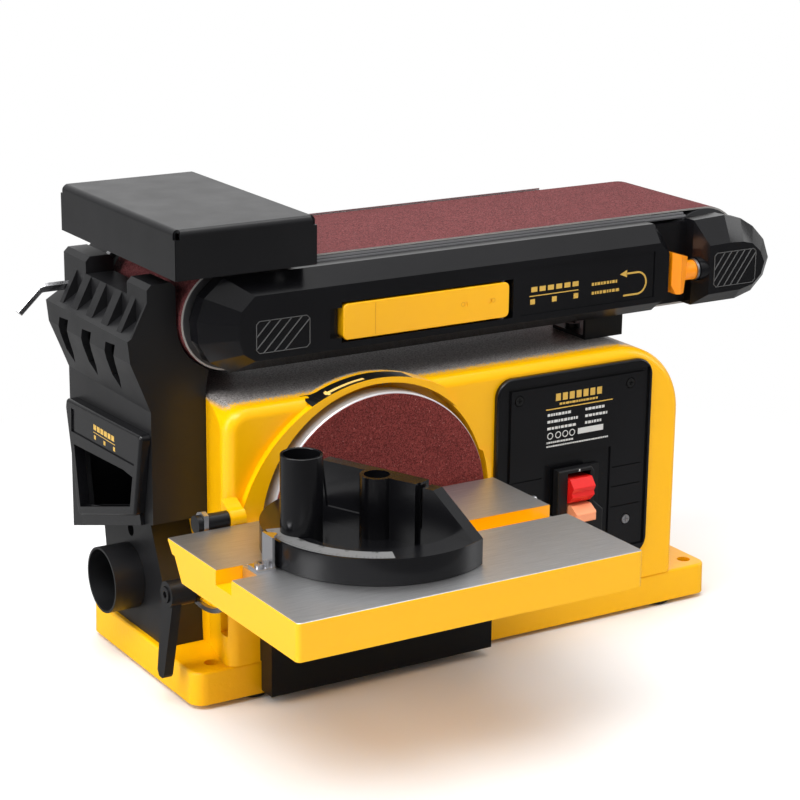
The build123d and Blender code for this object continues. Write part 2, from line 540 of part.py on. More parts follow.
HUB_X = (-214.0, -198.0)
with BuildPart() as table_bolts:
    # pivot bolt and its spacer
    rod("X", (-201.0, ear_x[1] - 0.5), (PIVOT_Y, PIVOT_Z), 3.0)
    rod("X", (-201.0, left_bracket_x[0] - 0.3), (PIVOT_Y, PIVOT_Z), 5.5)
    rod("X", (left_bracket_x[1] + 0.3, ear_x[0] - GAP), (PIVOT_Y, PIVOT_Z), 5.2)
    # guide stud of the right bracket
    rod("X", (right_bracket_x[0] + GAP, lug_x[1] + 2), stud, 2.5)
    # lock bolt with its socket head
    rod("X", (HUB_X[0] + 2, BODY_LEFT + WALL + 1), lock, 3.0)
    rod("X", (HUB_X[0] - 1.0, HUB_X[0] + 3 - GAP), lock, 4.6)
    with BuildSketch(Plane.YZ.offset(HUB_X[0] - 1.0)):
        with Locations(lock):
            RegularPolygon(2.4, 6)
    extrude(amount=2.5, mode=Mode.SUBTRACT)
save(table_bolts, "table_bolts")

LEVER_LENGTH = 57.0
LEVER_LEAN = 12.0
with BuildPart() as table_lock_lever:
    rod("X", HUB_X, lock, 8.0)
    tip = (lock[0] + LEVER_LENGTH * sin(radians(LEVER_LEAN)),
           lock[1] - LEVER_LENGTH * cos(radians(LEVER_LEAN)))
    side_slab([(lock[0] - 6.5, lock[1] - 3), (tip[0] - 4.5, tip[1] + 1), (tip[0] - 2.5, tip[1] - 1.5),
               (tip[0] + 2.5, tip[1] - 1.5), (tip[0] + 4.5, tip[1] + 2), (lock[0] + 7.5, lock[1])],
              (HUB_X[0] + 1, HUB_X[0] + 7))
    long_edges = table_lock_lever.edges().filter_by(Axis.X)
    tip_edges = long_edges.filter_by(lambda edge: edge.center().Z < tip[1] + 8)
    fillet(tip_edges, 1.5)
    rod("X", (HUB_X[0] - 1, HUB_X[1] + 1), lock, 3.0 + RUN, mode=Mode.SUBTRACT)
    rod("X", (HUB_X[0] - 1, HUB_X[0] + 3), lock, 5.0, mode=Mode.SUBTRACT)
save(table_lock_lever, "table_lock_lever")

# ---------------------------------------------------------------- mitre gauge
BAR_X = (MITRE_X - 82.0, MITRE_X + 58.0)
BAR_TOP = TABLE_TOP - 0.4
POINTER_X = MITRE_X - MITRE_R - 4.0
with BuildPart() as mitre_bar:
    block(BAR_X, (SLOT_Y - SLOT_W / 2 + RUN, SLOT_Y + SLOT_W / 2 - RUN), (TABLE_TOP - SLOT_D + GAP, BAR_TOP))
    chamfer(mitre_bar.edges().filter_by(Axis.Z), 1.0)
    rod("Z", (TABLE_TOP - SLOT_D, BAR_TOP + 1), (MITRE_X, SLOT_Y), 3.0, mode=Mode.SUBTRACT)
    rod("Z", (BAR_TOP - 5, BAR_TOP + 1), (POINTER_X - 4.5, SLOT_Y), 1.5, mode=Mode.SUBTRACT)
save(mitre_bar, "mitre_bar")

HEAD_Z = TABLE_TOP + 0.3
RIM_TOP = HEAD_Z + 15.5
FLOOR_TOP = HEAD_Z + 6.0
FENCE_TOP = 159.5
FENCE = 10.0                    # distance from the pivot to the fence's working face
head_plane = Plane((MITRE_X, SLOT_Y, HEAD_Z),
                   x_dir=(cos(radians(MITRE_ANGLE)), sin(radians(MITRE_ANGLE)), 0),
                   z_dir=(0, 0, 1))
HANDLE_AT = polar((0, 0), 47.0, 175 - MITRE_ANGLE)
HANDLE_R = 12.2
STUD_R = 4.0                    # the handle's threaded stud
PIN_R = 3.0                     # the screw the mitre head turns on
PIN_HEAD_Z = HEAD_Z + 4.0


with BuildPart() as mitre_head:
    with BuildSketch(head_plane) as head_outline:
        Circle(MITRE_R)
        with Locations((FENCE + MITRE_R, 0)):
            Rectangle(2 * MITRE_R, 3 * MITRE_R, mode=Mode.SUBTRACT)
    extrude(amount=RIM_TOP - HEAD_Z)
    with BuildSketch(head_plane.offset(FLOOR_TOP - HEAD_Z)) as recess_outline:
        Circle(MITRE_R - 17)
        with Locations((FENCE - 9 + MITRE_R, 0)):
            Rectangle(2 * MITRE_R, 3 * MITRE_R, mode=Mode.SUBTRACT)
    extrude(amount=RIM_TOP, mode=Mode.SUBTRACT)
    with BuildSketch(head_plane.offset(FLOOR_TOP - HEAD_Z)) as wall_outline:
        with Locations((FENCE - 4, 6.0)):
            Rectangle(8, 70)
    extrude(amount=FENCE_TOP - FLOOR_TOP)
    with BuildSketch(head_plane.offset(FLOOR_TOP - HEAD_Z)) as boss_outline:
        Circle(10)
        with Locations((5, 0)):
            Rectangle(10, 20)
        with Locations((4, -19)):
            Rectangle(12, 18)
    extrude(amount=FENCE_TOP - FLOOR_TOP)
    gusset_plane = Plane(head_plane.origin, x_dir=head_plane.y_dir, z_dir=head_plane.x_dir)
    with BuildSketch(gusset_plane.offset(FENCE - 9)) as gusset:
        with BuildLine():
            Polyline((-MITRE_R + 1, 10), (-MITRE_R + 1, RIM_TOP - HEAD_Z), (-38, 40), (-31, 40), (-31, 10),
                     close=True)
        make_face()
    extrude(amount=9)
    with BuildSketch(gusset_plane.offset(FENCE - 9)) as far_gusset:
        with BuildLine():
            Polyline((MITRE_R - 1, 10), (MITRE_R - 1, RIM_TOP - HEAD_Z), (41, FENCE_TOP - HEAD_Z),
                     (36, 10), close=True)
        make_face()
    extrude(amount=9)
    with BuildSketch(head_plane) as bores:
        Circle(PIN_R + RUN)
        with Locations(HANDLE_AT):
            Circle(STUD_R + RUN)
    extrude(amount=60, mode=Mode.SUBTRACT)
    with BuildSketch(head_plane.offset(PIN_HEAD_Z - HEAD_Z)) as counterbore:
        Circle(7.5)
    extrude(amount=60, mode=Mode.SUBTRACT)
    with BuildSketch(head_plane.offset(FLOOR_TOP - HEAD_Z)) as handle_seat:
        with Locations(HANDLE_AT):
            Circle(HANDLE_R + 1.0)
    extrude(amount=20, mode=Mode.SUBTRACT)
    with BuildSketch(head_plane.offset(-1)) as arc_slot:
        SlotArc(CenterArc((0, 0), 43.5, 200, 60), 5.0)
    extrude(amount=30, mode=Mode.SUBTRACT)
save(mitre_head, "mitre_head")

handle_spot = polar((MITRE_X, SLOT_Y), 47.0, 175)
HANDLE_Z = (FLOOR_TOP + 0.3, 178.0)
with BuildPart() as mitre_handle:
    rod("Z", HANDLE_Z, handle_spot, HANDLE_R)
    rod("Z", (HANDLE_Z[0] + 12, HANDLE_Z[1] + 1), handle_spot, HANDLE_R - 1.6, mode=Mode.SUBTRACT)
    fillet(mitre_handle.faces().sort_by(Axis.Z)[-1].edges(), 0.5)
    rod("Z", (HANDLE_Z[0] - 6.2, HANDLE_Z[0] + 1), handle_spot, STUD_R)
save(mitre_handle, "mitre_handle")

with BuildPart() as mitre_screws:
    rod("Z", (TABLE_TOP - SLOT_D + 1.5, PIN_HEAD_Z + GAP), (MITRE_X, SLOT_Y), PIN_R)
    rod("Z", (PIN_HEAD_Z + GAP, PIN_HEAD_Z + 3), (MITRE_X, SLOT_Y), 6.8)
    shank("Z", BAR_TOP + 1.65, (POINTER_X - 4.5, SLOT_Y), 1.5, 6.0, 1)
    pan_head("Z", BAR_TOP + 1.65, (POINTER_X - 4.5, SLOT_Y), 3.2, 1)
save(mitre_screws, "mitre_screws")

with BuildPart() as mitre_pointer:
    block((POINTER_X - 9, POINTER_X + 2.0), (SLOT_Y - 6, SLOT_Y + 6), (BAR_TOP + 0.02, BAR_TOP + 1.6))
    block((POINTER_X, POINTER_X + 1.5), (SLOT_Y - 6, SLOT_Y + 6), (BAR_TOP + 0.02, RIM_TOP + 3.0))
    with BuildSketch(Plane.XY.offset(RIM_TOP + 1.5)):
        with BuildLine():
            Polyline((POINTER_X, SLOT_Y - 6), (POINTER_X + 6, SLOT_Y - 1.0), (POINTER_X + 6, SLOT_Y + 1.0),
                     (POINTER_X, SLOT_Y + 6), close=True)
        make_face()
    extrude(amount=1.5)
    rod("Z", (BAR_TOP - 1, BAR_TOP + 3), (POINTER_X - 4.5, SLOT_Y), 1.5, mode=Mode.SUBTRACT)
save(mitre_pointer, "mitre_pointer")

# ---------------------------------------------------------------- dust hood
AXIS = (DRUM_X, DRUM_Z)
HOOD_ARC = DRUM_R + 3.0         # the hood clears the belt by this radius
HOOD_WAIST = 95.0               # the lower hood starts below this height
HOOD_SKIRT = ((HOOD_Y[0], 105.5), (HOOD_Y[1], 68.5))    # (y, z) ends of the upper hood's lower edge
RIDGE = (-219.7, 220.7)         # (x, z) of the nose the hood's ledge slopes down to
EAR_WALL = -206.7               # left face of the hood above that ledge
LEDGE_Z = 228.5                 # where the ledge meets the wall
HOOD_TOP = 253.0
NOTCH_Y = (-6.0, 53.0)          # gap between the two ears
NOTCH_FLOOR = 242.5
RIB_Y = ((66, 70.5), (45, 54), (23, 32), (1, 10), (-18, -12), (-33, -31))    # ribs between wall and ledge
SLIT_Y = (61.0, 27.0, -7.0)
LOWER_LEFT = -195.0
LOWER_HOOD = [(-25, BASE_H + GAP), (-23, 62), (-4, HOOD_WAIST + 8), (60, HOOD_WAIST), (61, 74),
              (53, BASE_H + GAP)]
LOWER_HOLLOW = [(-20, BASE_H + 3), (-19, 62), (0, HOOD_WAIST + 16), (56, HOOD_WAIST + 16), (57, 74),
                (50, BASE_H + 3)]
GRIP_X = (-212.5, HOOD_LEFT - GAP)
GRIP_OPENING = [(65.8, 130.4), (-7.0, 134.1), (-20.3, 133.0), (-15.8, 113.1), (58.8, 90.8)]
HEX_KEY_Y = 74.0
HEX_KEY_Z = 231.5
HEX_KEY_R = 2.9                 # to the corners of its 5 mm hexagon


def right_side(arc, edge):
    """The hood's side towards the drum: up the housing at x = edge, then round the drum at this radius."""
    corner = (AXIS[0] - 13, AXIS[1] - sqrt(arc ** 2 - 13 ** 2))
    round_drum = [polar(AXIS, arc, angle) for angle in (225, 210, 195, 180)]
    return [(edge, HOOD_WAIST - 30), (edge, 184.5 + BODY_LEFT - edge), corner] + round_drum


hood_outline = right_side(HOOD_ARC, BODY_LEFT - GAP) + [
    (AXIS[0] - HOOD_ARC, HOOD_TOP - 3), (AXIS[0] - HOOD_ARC - 3, HOOD_TOP), (EAR_WALL + 3, HOOD_TOP),
    (EAR_WALL, HOOD_TOP - 3), (EAR_WALL, LEDGE_Z), RIDGE, (-218.2, 207), (-210.6, 188.6), (HOOD_LEFT, 175.7),
    (HOOD_LEFT, HOOD_WAIST - 30)]
hollow_outline = right_side(HOOD_ARC + HOOD_WALL, BODY_LEFT - HOOD_WALL) + [
    (AXIS[0] - HOOD_ARC - HOOD_WALL, HOOD_TOP - 14), (EAR_WALL + HOOD_WALL, HOOD_TOP - 14),
    (EAR_WALL + HOOD_WALL, 222), (-214.0, 216), (-213.5, 207), (-206.5, 190), (HOOD_LEFT + HOOD_WALL, 177),
    (HOOD_LEFT + HOOD_WALL, HOOD_WAIST - 30)]


def above_skirt(lift, y):
    """Cut away whatever lies below the hood's slanting lower edge raised by lift."""
    side_slab([(HOOD_SKIRT[0][0] - 1, 0), (HOOD_SKIRT[0][0] - 1, HOOD_SKIRT[0][1] + lift),
               (HOOD_SKIRT[1][0] + 1, HOOD_SKIRT[1][1] + lift), (HOOD_SKIRT[1][0] + 1, 0)], y, Mode.SUBTRACT)


with BuildPart() as hood_hollow:
    front_slab(hollow_outline, (HOOD_Y[0] + HOOD_WALL, PANEL_Y - 5))
    above_skirt(HOOD_WALL, (RIDGE[0] - 1, DRUM_X))

with BuildPart() as dust_hood:
    front_slab(hood_outline, HOOD_Y)
    above_skirt(0, (RIDGE[0] - 1, DRUM_X))
    side_slab(LOWER_HOOD, (LOWER_LEFT, BODY_LEFT - GAP))
    add(hood_hollow.part, mode=Mode.SUBTRACT)
    capsule((PANEL_Y - 1, HOOD_Y[1] + 1), (DISC_X, DISC_Z), 29, AXIS, 34, Mode.SUBTRACT)
    side_slab(LOWER_HOLLOW, (LOWER_LEFT + HOOD_WALL, BODY_LEFT - GAP - HOOD_WALL), Mode.SUBTRACT)
    # the mouth towards the drum
    block((AXIS[0] - HOOD_ARC - HOOD_WALL - 1, AXIS[0]), (BELT_Y[0] + 8, BELT_Y[1] - 4),
          (AXIS[1] - 12, AXIS[1] + 10), Mode.SUBTRACT)
    # the notch between the two ears, and the ribs on the ledge below it
    block((EAR_WALL - 1, DRUM_X), NOTCH_Y, (NOTCH_FLOOR, HOOD_TOP + 1), Mode.SUBTRACT)
    for rib_y in RIB_Y:
        front_slab([(EAR_WALL + 1, NOTCH_FLOOR), (EAR_WALL, NOTCH_FLOOR), (-217, 222.3),
                    (EAR_WALL + 1, 226)], rib_y)
    # the three tapered slots under the ridge
    for slit in SLIT_Y:
        side_slab([(slit + 6.5, 213.5), (slit - 7, 214.5), (slit + 0.5, 201), (slit + 4.5, 190),
                   (slit + 9, 182),
                   (slit + 15, 190), (slit + 13, 201)], (RIDGE[0] - 1, HOOD_LEFT + 2), Mode.SUBTRACT)
    # opening behind the grip, bore of the dust port, inspection hole and hole for the hex key
    side_slab(GRIP_OPENING, (HOOD_LEFT - 1, HOOD_LEFT + HOOD_WALL + 1), Mode.SUBTRACT)
    rod("X", (LOWER_LEFT - 1, LOWER_LEFT + HOOD_WALL + 1), (PORT_Y, PORT_Z), PORT_BORE, mode=Mode.SUBTRACT)
    rod("X", (LOWER_LEFT - 1, LOWER_LEFT + HOOD_WALL + 1), (21.7, 84.0), 4.2, mode=Mode.SUBTRACT)
    rod("X", (RIDGE[0] - 4, -190), (HEX_KEY_Y, HEX_KEY_Z), HEX_KEY_R + 0.1, mode=Mode.SUBTRACT)
save(dust_hood, "dust_hood")

with BuildPart() as hood_grip:
    side_slab([(-33.0, 162), (76.5, 158), (78.0, 152), (62.4, 84), (-21.9, 109)], GRIP_X)
    fillet(hood_grip.edges().filter_by(Axis.X), 3.0)
    fillet(hood_grip.faces().sort_by(Axis.X)[0].edges(), 2.0)
    side_slab(GRIP_OPENING, (GRIP_X[0] - 1, GRIP_X[1] + 1), Mode.SUBTRACT)
    side_slab([(68.5, 153.5), (69.4, 138), (-22.5, 140.6), (-25.5, 154)], (GRIP_X[0] - 1, GRIP_X[0] + 1.0),
              Mode.SUBTRACT)
    side_slab([(66, 90), (-20, 112), (-22.5, 102.5), (66, 75.5)], (HOOD_LEFT - 3.0, GRIP_X[1]))
save(hood_grip, "hood_grip")

with BuildPart() as dust_port:
    ring("X", (LOWER_LEFT - 20, LOWER_LEFT - GAP), (PORT_Y, PORT_Z), PORT_R, PORT_BORE)
save(dust_port, "dust_port")

KEY_BEND_X = -228.0
with BuildPart() as hex_key:
    with BuildLine() as key_path:
        FilletPolyline((-196, HEX_KEY_Y, HEX_KEY_Z), (KEY_BEND_X, HEX_KEY_Y, HEX_KEY_Z),
                       (KEY_BEND_X - 15, HEX_KEY_Y, HEX_KEY_Z - 14), radius=6)
    with BuildSketch(Plane(key_path.wire() @ 0, z_dir=key_path.wire() % 0)):
        RegularPolygon(HEX_KEY_R, 6)
    sweep()
save(hex_key, "hex_key")

# ---------------------------------------------------------------- belt drive at the back
MOTOR_AXIS = (DISC_X, DISC_Z)
with BuildPart() as drum_bracket:
    capsule((PANEL_Y + GAP, BRACKET_BACK), MOTOR_AXIS, 28, AXIS, 32.5)
    rod("Y", (BELT_Y[1] + 1.5, BRACKET_BACK + 2), AXIS, 20)
    rod("Y", (BELT_Y[1], BRACKET_BACK + 3), AXIS, BEARING_OUT_R, mode=Mode.SUBTRACT)
    rod("Y", (PANEL_Y - 1, BRACKET_BACK + 1), MOTOR_AXIS, 12, mode=Mode.SUBTRACT)
save(drum_bracket, "drum_bracket")

with BuildPart() as drum_bearings:
    for start in (65.6, 74.6):
        ring("Y", (start, start + BEARING_W), AXIS, BEARING_OUT_R, SHAFT_R + RUN)
save(drum_bearings, "drum_bearings")


def pulley(radius, axis, bore):
    """Add a flanged pulley on the given axis."""
    ring("Y", PULLEY_Y, axis, radius, bore)
    for flange in (PULLEY_Y[0] - 1.5, PULLEY_Y[1]):
        ring("Y", (flange, flange + 1.5), axis, radius + 2.0, bore)


with BuildPart() as motor_pulley:
    pulley(MOTOR_PULLEY_R, MOTOR_AXIS, MOTOR_SHAFT_R)
save(motor_pulley, "motor_pulley")

with BuildPart() as drum_pulley:
    pulley(DRUM_PULLEY_R, AXIS, SHAFT_R)
save(drum_pulley, "drum_pulley")

with BuildPart() as drive_belt:
    belt_y = (PULLEY_Y[0] + 0.5, PULLEY_Y[1] - 0.5)
    capsule(belt_y, MOTOR_AXIS, MOTOR_PULLEY_R + RUN + DRIVE_BELT_T, AXIS,
            DRUM_PULLEY_R + RUN + DRIVE_BELT_T)
    capsule(belt_y, MOTOR_AXIS, MOTOR_PULLEY_R + RUN, AXIS, DRUM_PULLEY_R + RUN, Mode.SUBTRACT)
save(drive_belt, "drive_belt")

PULLEY_COVER_Y = (BRACKET_BACK + GAP, 109.0)
with BuildPart() as pulley_cover:
    capsule(PULLEY_COVER_Y, MOTOR_AXIS, 28, AXIS, 32.5)
    fillet(pulley_cover.faces().sort_by(Axis.Y)[-1].edges(), 3.0)
    capsule((PULLEY_COVER_Y[0] - 1, PULLEY_COVER_Y[1] - 2.5), MOTOR_AXIS, 25.5, AXIS, 30.5, Mode.SUBTRACT)
save(pulley_cover, "pulley_cover")

with BuildPart() as drive_drum:
    ring("Y", (BELT_Y[0] - 0.5, BELT_Y[1] + 0.5), AXIS, DRUM_R, SHAFT_R)
    for face in (BELT_Y[0] - 0.5, BELT_Y[1] - 5.5):
        with BuildSketch(at_y(face)) as pocket:
            with Locations(AXIS):
                Circle(DRUM_R - 4)
                Circle(SHAFT_R + 5, mode=Mode.SUBTRACT)
        extrude(amount=-6, mode=Mode.SUBTRACT)
save(drive_drum, "drive_drum")

with BuildPart() as drum_shaft:
    rod("Y", (BELT_Y[0] - 3, PULLEY_Y[1] + 3), AXIS, SHAFT_R)
save(drum_shaft, "drum_shaft")

# ---------------------------------------------------------------- belt arm
WEB_X = (DRUM_X + 42, 150.0)
WEB_Y = (COVER_Y[1] + GAP, ARM_PLATE_Y[0])
WEB_Z = (206.0, 256.0)
STEM_R = 8.0
STEM = (14.0, DRUM_Z)           # (y, z) of the fork's stem
FORK_X = (160.0, 168.0)
with BuildPart() as belt_arm:
    front_slab([(DRUM_X, DRUM_Z + 30), (140, DRUM_Z + 28), (150, DRUM_Z + 20), (150, DRUM_Z - 20),
                (140, DRUM_Z - 24), (DRUM_X, DRUM_Z - 30)], ARM_PLATE_Y)
    rod("Y", ARM_PLATE_Y, AXIS, 30.0)
    block(WEB_X, WEB_Y, WEB_Z)
    block((WEB_X[0] + 4, 98), (WEB_Y[0] - 1, ARM_PLATE_Y[0] - 2), (WEB_Z[0] + 4, WEB_Z[1] - 5),
          Mode.SUBTRACT)
    block((104, WEB_X[1] - 4), (WEB_Y[0] + 4, ARM_PLATE_Y[0] - 2), (WEB_Z[0] + 4, WEB_Z[1] - 5),
          Mode.SUBTRACT)
    rod("Y", (ARM_PLATE_Y[0] - 2, ARM_PLATE_Y[1] + 1), AXIS, 20 + RUN, mode=Mode.SUBTRACT)
    rod("X", (96, WEB_X[1] + 1), STEM, STEM_R + RUN, mode=Mode.SUBTRACT)
save(belt_arm, "belt_arm")

with BuildPart() as platen:
    block((WEB_X[0] - 2, 160.0), (BELT_Y[0] + 1, BELT_Y[1] - 1), (WEB_Z[1] + GAP, DRUM_Z + DRUM_R - 0.05))
    fillet(platen.edges().filter_by(Axis.Y).group_by(Axis.Z)[-1], 1.0)
save(platen, "platen")

with BuildPart() as guard_rail:
    block((-105.0, 140.0), (BELT_Y[1] + 1.5, ARM_PLATE_Y[0] - GAP), (WEB_Z[1] + GAP, BELT_TOP + 1.0))
save(guard_rail, "guard_rail")


def stadium_loop(y, radius, mode=Mode.ADD):
    """Extrude the stadium round both drum axes."""
    with BuildSketch(at_y(y[0])) as outline:
        with Locations(((DRUM_X + IDLER_X) / 2, DRUM_Z)):
            SlotCenterToCenter(IDLER_X - DRUM_X, 2 * radius)
    extrude(outline.sketch, amount=-(y[1] - y[0]), mode=mode)


with BuildPart() as sanding_belt:
    stadium_loop(BELT_Y, DRUM_R + RUN + BELT_T)
    stadium_loop(BELT_Y, DRUM_R + RUN, Mode.SUBTRACT)
save(sanding_belt, "sanding_belt")

cover_back = [(DRUM_X - 30, 232), (DRUM_X - 25, 246), (DRUM_X - 12, COVER_TOP), (149, COVER_TOP), (156, 249),
              (156, 204), (150, COVER_BOTTOM), (DRUM_X - 8, COVER_BOTTOM), (DRUM_X - 22, 207),
              (DRUM_X - 29, 219)]
cover_front = [(DRUM_X - 8, 230), (DRUM_X - 6, 238), (DRUM_X + 3, 246.5), (147, 246.5), (154.5, 239),
               (154.5, 210), (148, 207), (DRUM_X + 3, 207), (DRUM_X - 5, 212), (DRUM_X - 8, 221)]
LEVER_X = (-91.5, 28.5)
LEVER_Z = (212.0, 234.5)
LEVER_PIVOT = (25.5, COVER_Y[0] + 4.0)
with BuildPart() as belt_front_cover:
    front_slab(cover_back, (COVER_BEVEL_Y, COVER_Y[1]))
    with BuildSketch(at_y(COVER_BEVEL_Y)):
        with BuildLine():
            Polyline(*cover_back, close=True)
        make_face()
    with BuildSketch(at_y(COVER_Y[0])):
        with BuildLine():
            Polyline(*cover_front, close=True)
        make_face()
    loft(ruled=True)
    # hollow behind the front wall
    front_slab([(DRUM_X + 18, 250), (140, 250), (140, 205), (DRUM_X + 18, 205)],
               (COVER_Y[0] + 12, COVER_Y[1] + 1),
               Mode.SUBTRACT)
    block((LEVER_X[0] - 1, LEVER_X[1] + 3.4), (COVER_Y[0] - 1, COVER_Y[0] + 9.5),
          (LEVER_Z[0] - 1.2, LEVER_Z[1] + 1.2),
          Mode.SUBTRACT)
    block((LEVER_X[0] - 9, LEVER_X[0]), (COVER_Y[0] - 1, COVER_Y[0] + 5), (LEVER_Z[0] + 2, LEVER_Z[1] - 2),
          Mode.SUBTRACT)
    rod("Z", (LEVER_Z[0] - 5, LEVER_Z[1] + 5), LEVER_PIVOT, 1.8, mode=Mode.SUBTRACT)
    block((38.0, 143.0), (COVER_Y[0] - 1, COVER_Y[0] + 0.8), (211.0, 241.5), Mode.SUBTRACT)
save(belt_front_cover, "belt_front_cover")

with BuildPart() as tension_lever:
    block(LEVER_X, (COVER_Y[0] - 0.6, COVER_Y[0] + 7.0), LEVER_Z)
    fillet(tension_lever.edges().filter_by(Axis.Y), 3.5)
    fillet(tension_lever.faces().sort_by(Axis.Y)[0].edges(), 0.8)
    block((LEVER_X[0] + 6, LEVER_X[1] - 14), (COVER_Y[0] + 2.4, COVER_Y[0] + 8),
          (LEVER_Z[0] + 2.5, LEVER_Z[1] - 2.5),
          Mode.SUBTRACT)
    for mark_x in (-4.0, 14.0):
        rod("Y", (COVER_Y[0] - 1, COVER_Y[0] - 0.2), (mark_x, 224), 1.6, mode=Mode.SUBTRACT)
    rod("Z", (LEVER_Z[0] - 1, LEVER_Z[1] + 1), LEVER_PIVOT, 1.8 + RUN, mode=Mode.SUBTRACT)
save(tension_lever, "tension_lever")

with BuildPart() as lever_pin:
    rod("Z", (LEVER_Z[0] - 4.5, LEVER_Z[1] + 4.5), LEVER_PIVOT, 1.8 - 0.01)
save(lever_pin, "lever_pin")

nose_back = [(182.5, COVER_TOP - 1), (208, COVER_TOP), (222, 253.5), (233, 247), (243, 237), (248, 224),
             (244, 212),
             (234, 202.5), (220, 198.6), (182.5, 198.6)]
nose_front = [(189, 240), (206, 240.5), (217, 240), (225, 238), (232, 232), (236, 224), (233.5, 216),
              (227, 210),
              (216, 207.5), (189, 207)]
KNOB_AXIS = (-54.5, 223.5)      # (y, z) of the tracking knob's axis
with BuildPart() as nose_cover:
    front_slab(nose_back, (COVER_BEVEL_Y, COVER_Y[1]))
    with BuildSketch(at_y(COVER_BEVEL_Y)):
        with BuildLine():
            Polyline(*nose_back, close=True)
        make_face()
    with BuildSketch(at_y(COVER_Y[0] + 0.5)):
        with BuildLine():
            Polyline(*nose_front, close=True)
        make_face()
    loft(ruled=True)
    block((156.0 + GAP, 184.0), (COVER_Y[1] - 3, COVER_Y[1]), (COVER_BOTTOM + 1, COVER_TOP - 3))
    rod("X", (182.5, 192.0), KNOB_AXIS, 8.0)
    rod("Y", (COVER_Y[1] - 5, COVER_Y[1] + 1), (IDLER_X, DRUM_Z), 18, mode=Mode.SUBTRACT)
    rod("X", (170, 193), KNOB_AXIS, 2.6, mode=Mode.SUBTRACT)
save(nose_cover, "nose_cover")

with BuildPart() as tracking_knob:
    with BuildSketch(Plane.XY.offset(211.0)):
        with BuildLine():
            Polyline((157.2, -55), (157.2, -63), (162.5, -66), (171.5, -61), (171.5, -55), close=True)
        make_face()
    extrude(amount=28)
    front_slab([(157.2, 239), (171.5, 234.5), (171.5, 230), (167, 211), (160, 211), (157.2, 217)],
               (-67, -50),
               Mode.INTERSECT)
    fillet(tracking_knob.edges().filter_by(Axis.Z), 0.8)
    rod("X", (165.0, 180.0), KNOB_AXIS, 6.5)
    rod("X", (150, 182), KNOB_AXIS, 2.5, mode=Mode.SUBTRACT)
save(tracking_knob, "tracking_knob")

with BuildPart() as tracking_screw:
    rod("X", (157.5, 191.5), KNOB_AXIS, 2.5)
    rod("X", (180.2, 181.8), KNOB_AXIS, 7.4)
save(tracking_screw, "tracking_screw")

with BuildPart() as idler_fork:
    rod("X", (94.0, FORK_X[0] + 1), STEM, STEM_R)
    block(FORK_X, (-41.6, 71.0), (212.0, 244.0))
    for arm_y in ((-41.6, -37.6), (66.5, 71.0)):
        block((FORK_X[0], IDLER_X + 10), arm_y, (217.0, 239.0))
        rod("Y", (arm_y[0] - 1, arm_y[1] + 1), (IDLER_X, DRUM_Z), SHAFT_R, mode=Mode.SUBTRACT)
    rod("X", (136, 140), STEM, STEM_R + 6)
save(idler_fork, "idler_fork")

with BuildPart() as idler_shaft:
    rod("Y", (-41.4, 70.8), (IDLER_X, DRUM_Z), SHAFT_R)
save(idler_shaft, "idler_shaft")

with BuildPart() as idler_bearings:
    for start in (BELT_Y[0] + 1, BELT_Y[1] - 1 - BEARING_W):
        ring("Y", (start, start + BEARING_W), (IDLER_X, DRUM_Z), BEARING_OUT_R, SHAFT_R + RUN)
save(idler_bearings, "idler_bearings")

with BuildPart() as idler_drum:
    ring("Y", (BELT_Y[0] - 0.5, BELT_Y[1] + 0.5), (IDLER_X, DRUM_Z), DRUM_R, BEARING_OUT_R)
save(idler_drum, "idler_drum")

with BuildPart() as tension_spring:
    with BuildLine() as coil_path:
        Helix(pitch=5.2, height=20.8, radius=STEM_R + 3.2, center=(113.6, *STEM), direction=(1, 0, 0))
    with BuildSketch(Plane(coil_path.wire() @ 0, z_dir=coil_path.wire() % 0)):
        Circle(1.2)
    sweep()
save(tension_spring, "tension_spring")

# ---------------------------------------------------------------- stop box
STOP_X = (-203.5, -110.5)
STOP_Y = (-65.2, 96.0)
STOP_Z = (DRUM_Z + 33.6, 291.1)
FOLD_R = 3.5                    # outer radius of the folds
RELIEF_R = 2.2                  # radius of the relief hole where two folds meet
SEAM = 0.6                      # half the width of the seam between two flanges
with BuildPart() as stop_box:
    block(STOP_X, STOP_Y, STOP_Z)
    fillet(stop_box.faces().sort_by(Axis.Z)[-1].edges(), FOLD_R)
    block((STOP_X[0] + SHEET, STOP_X[1] - SHEET), (STOP_Y[0] + SHEET, STOP_Y[1] - SHEET),
          (STOP_Z[0] - 1, STOP_Z[1] - SHEET), Mode.SUBTRACT)
    for corner_x, inward_x in ((STOP_X[0], 1), (STOP_X[1], -1)):
        for corner_y, inward_y in ((STOP_Y[0], 1), (STOP_Y[1], -1)):
            block((corner_x - SEAM, corner_x + SEAM), (corner_y - SEAM, corner_y + SEAM),
                  (STOP_Z[0] - 1, STOP_Z[1] - FOLD_R), Mode.SUBTRACT)
            rod("Z", (STOP_Z[1] - FOLD_R - RELIEF_R, STOP_Z[1] + 1),
                (corner_x + inward_x * 1.5, corner_y + inward_y * 1.5),
                RELIEF_R, mode=Mode.SUBTRACT)
save(stop_box, "stop_box")

STOP_LEG_X = (-134.0, -116.0)
with BuildPart() as stop_bracket:
    block(STOP_LEG_X, (ARM_PLATE_Y[1] + GAP, ARM_PLATE_Y[1] + 2.6), (240.0, STOP_Z[1] - SHEET - GAP))
    block(STOP_LEG_X, (ARM_PLATE_Y[1] - 16, ARM_PLATE_Y[1] + 2.6),
          (STOP_Z[1] - SHEET - 2.6, STOP_Z[1] - SHEET - GAP))
save(stop_bracket, "stop_bracket")

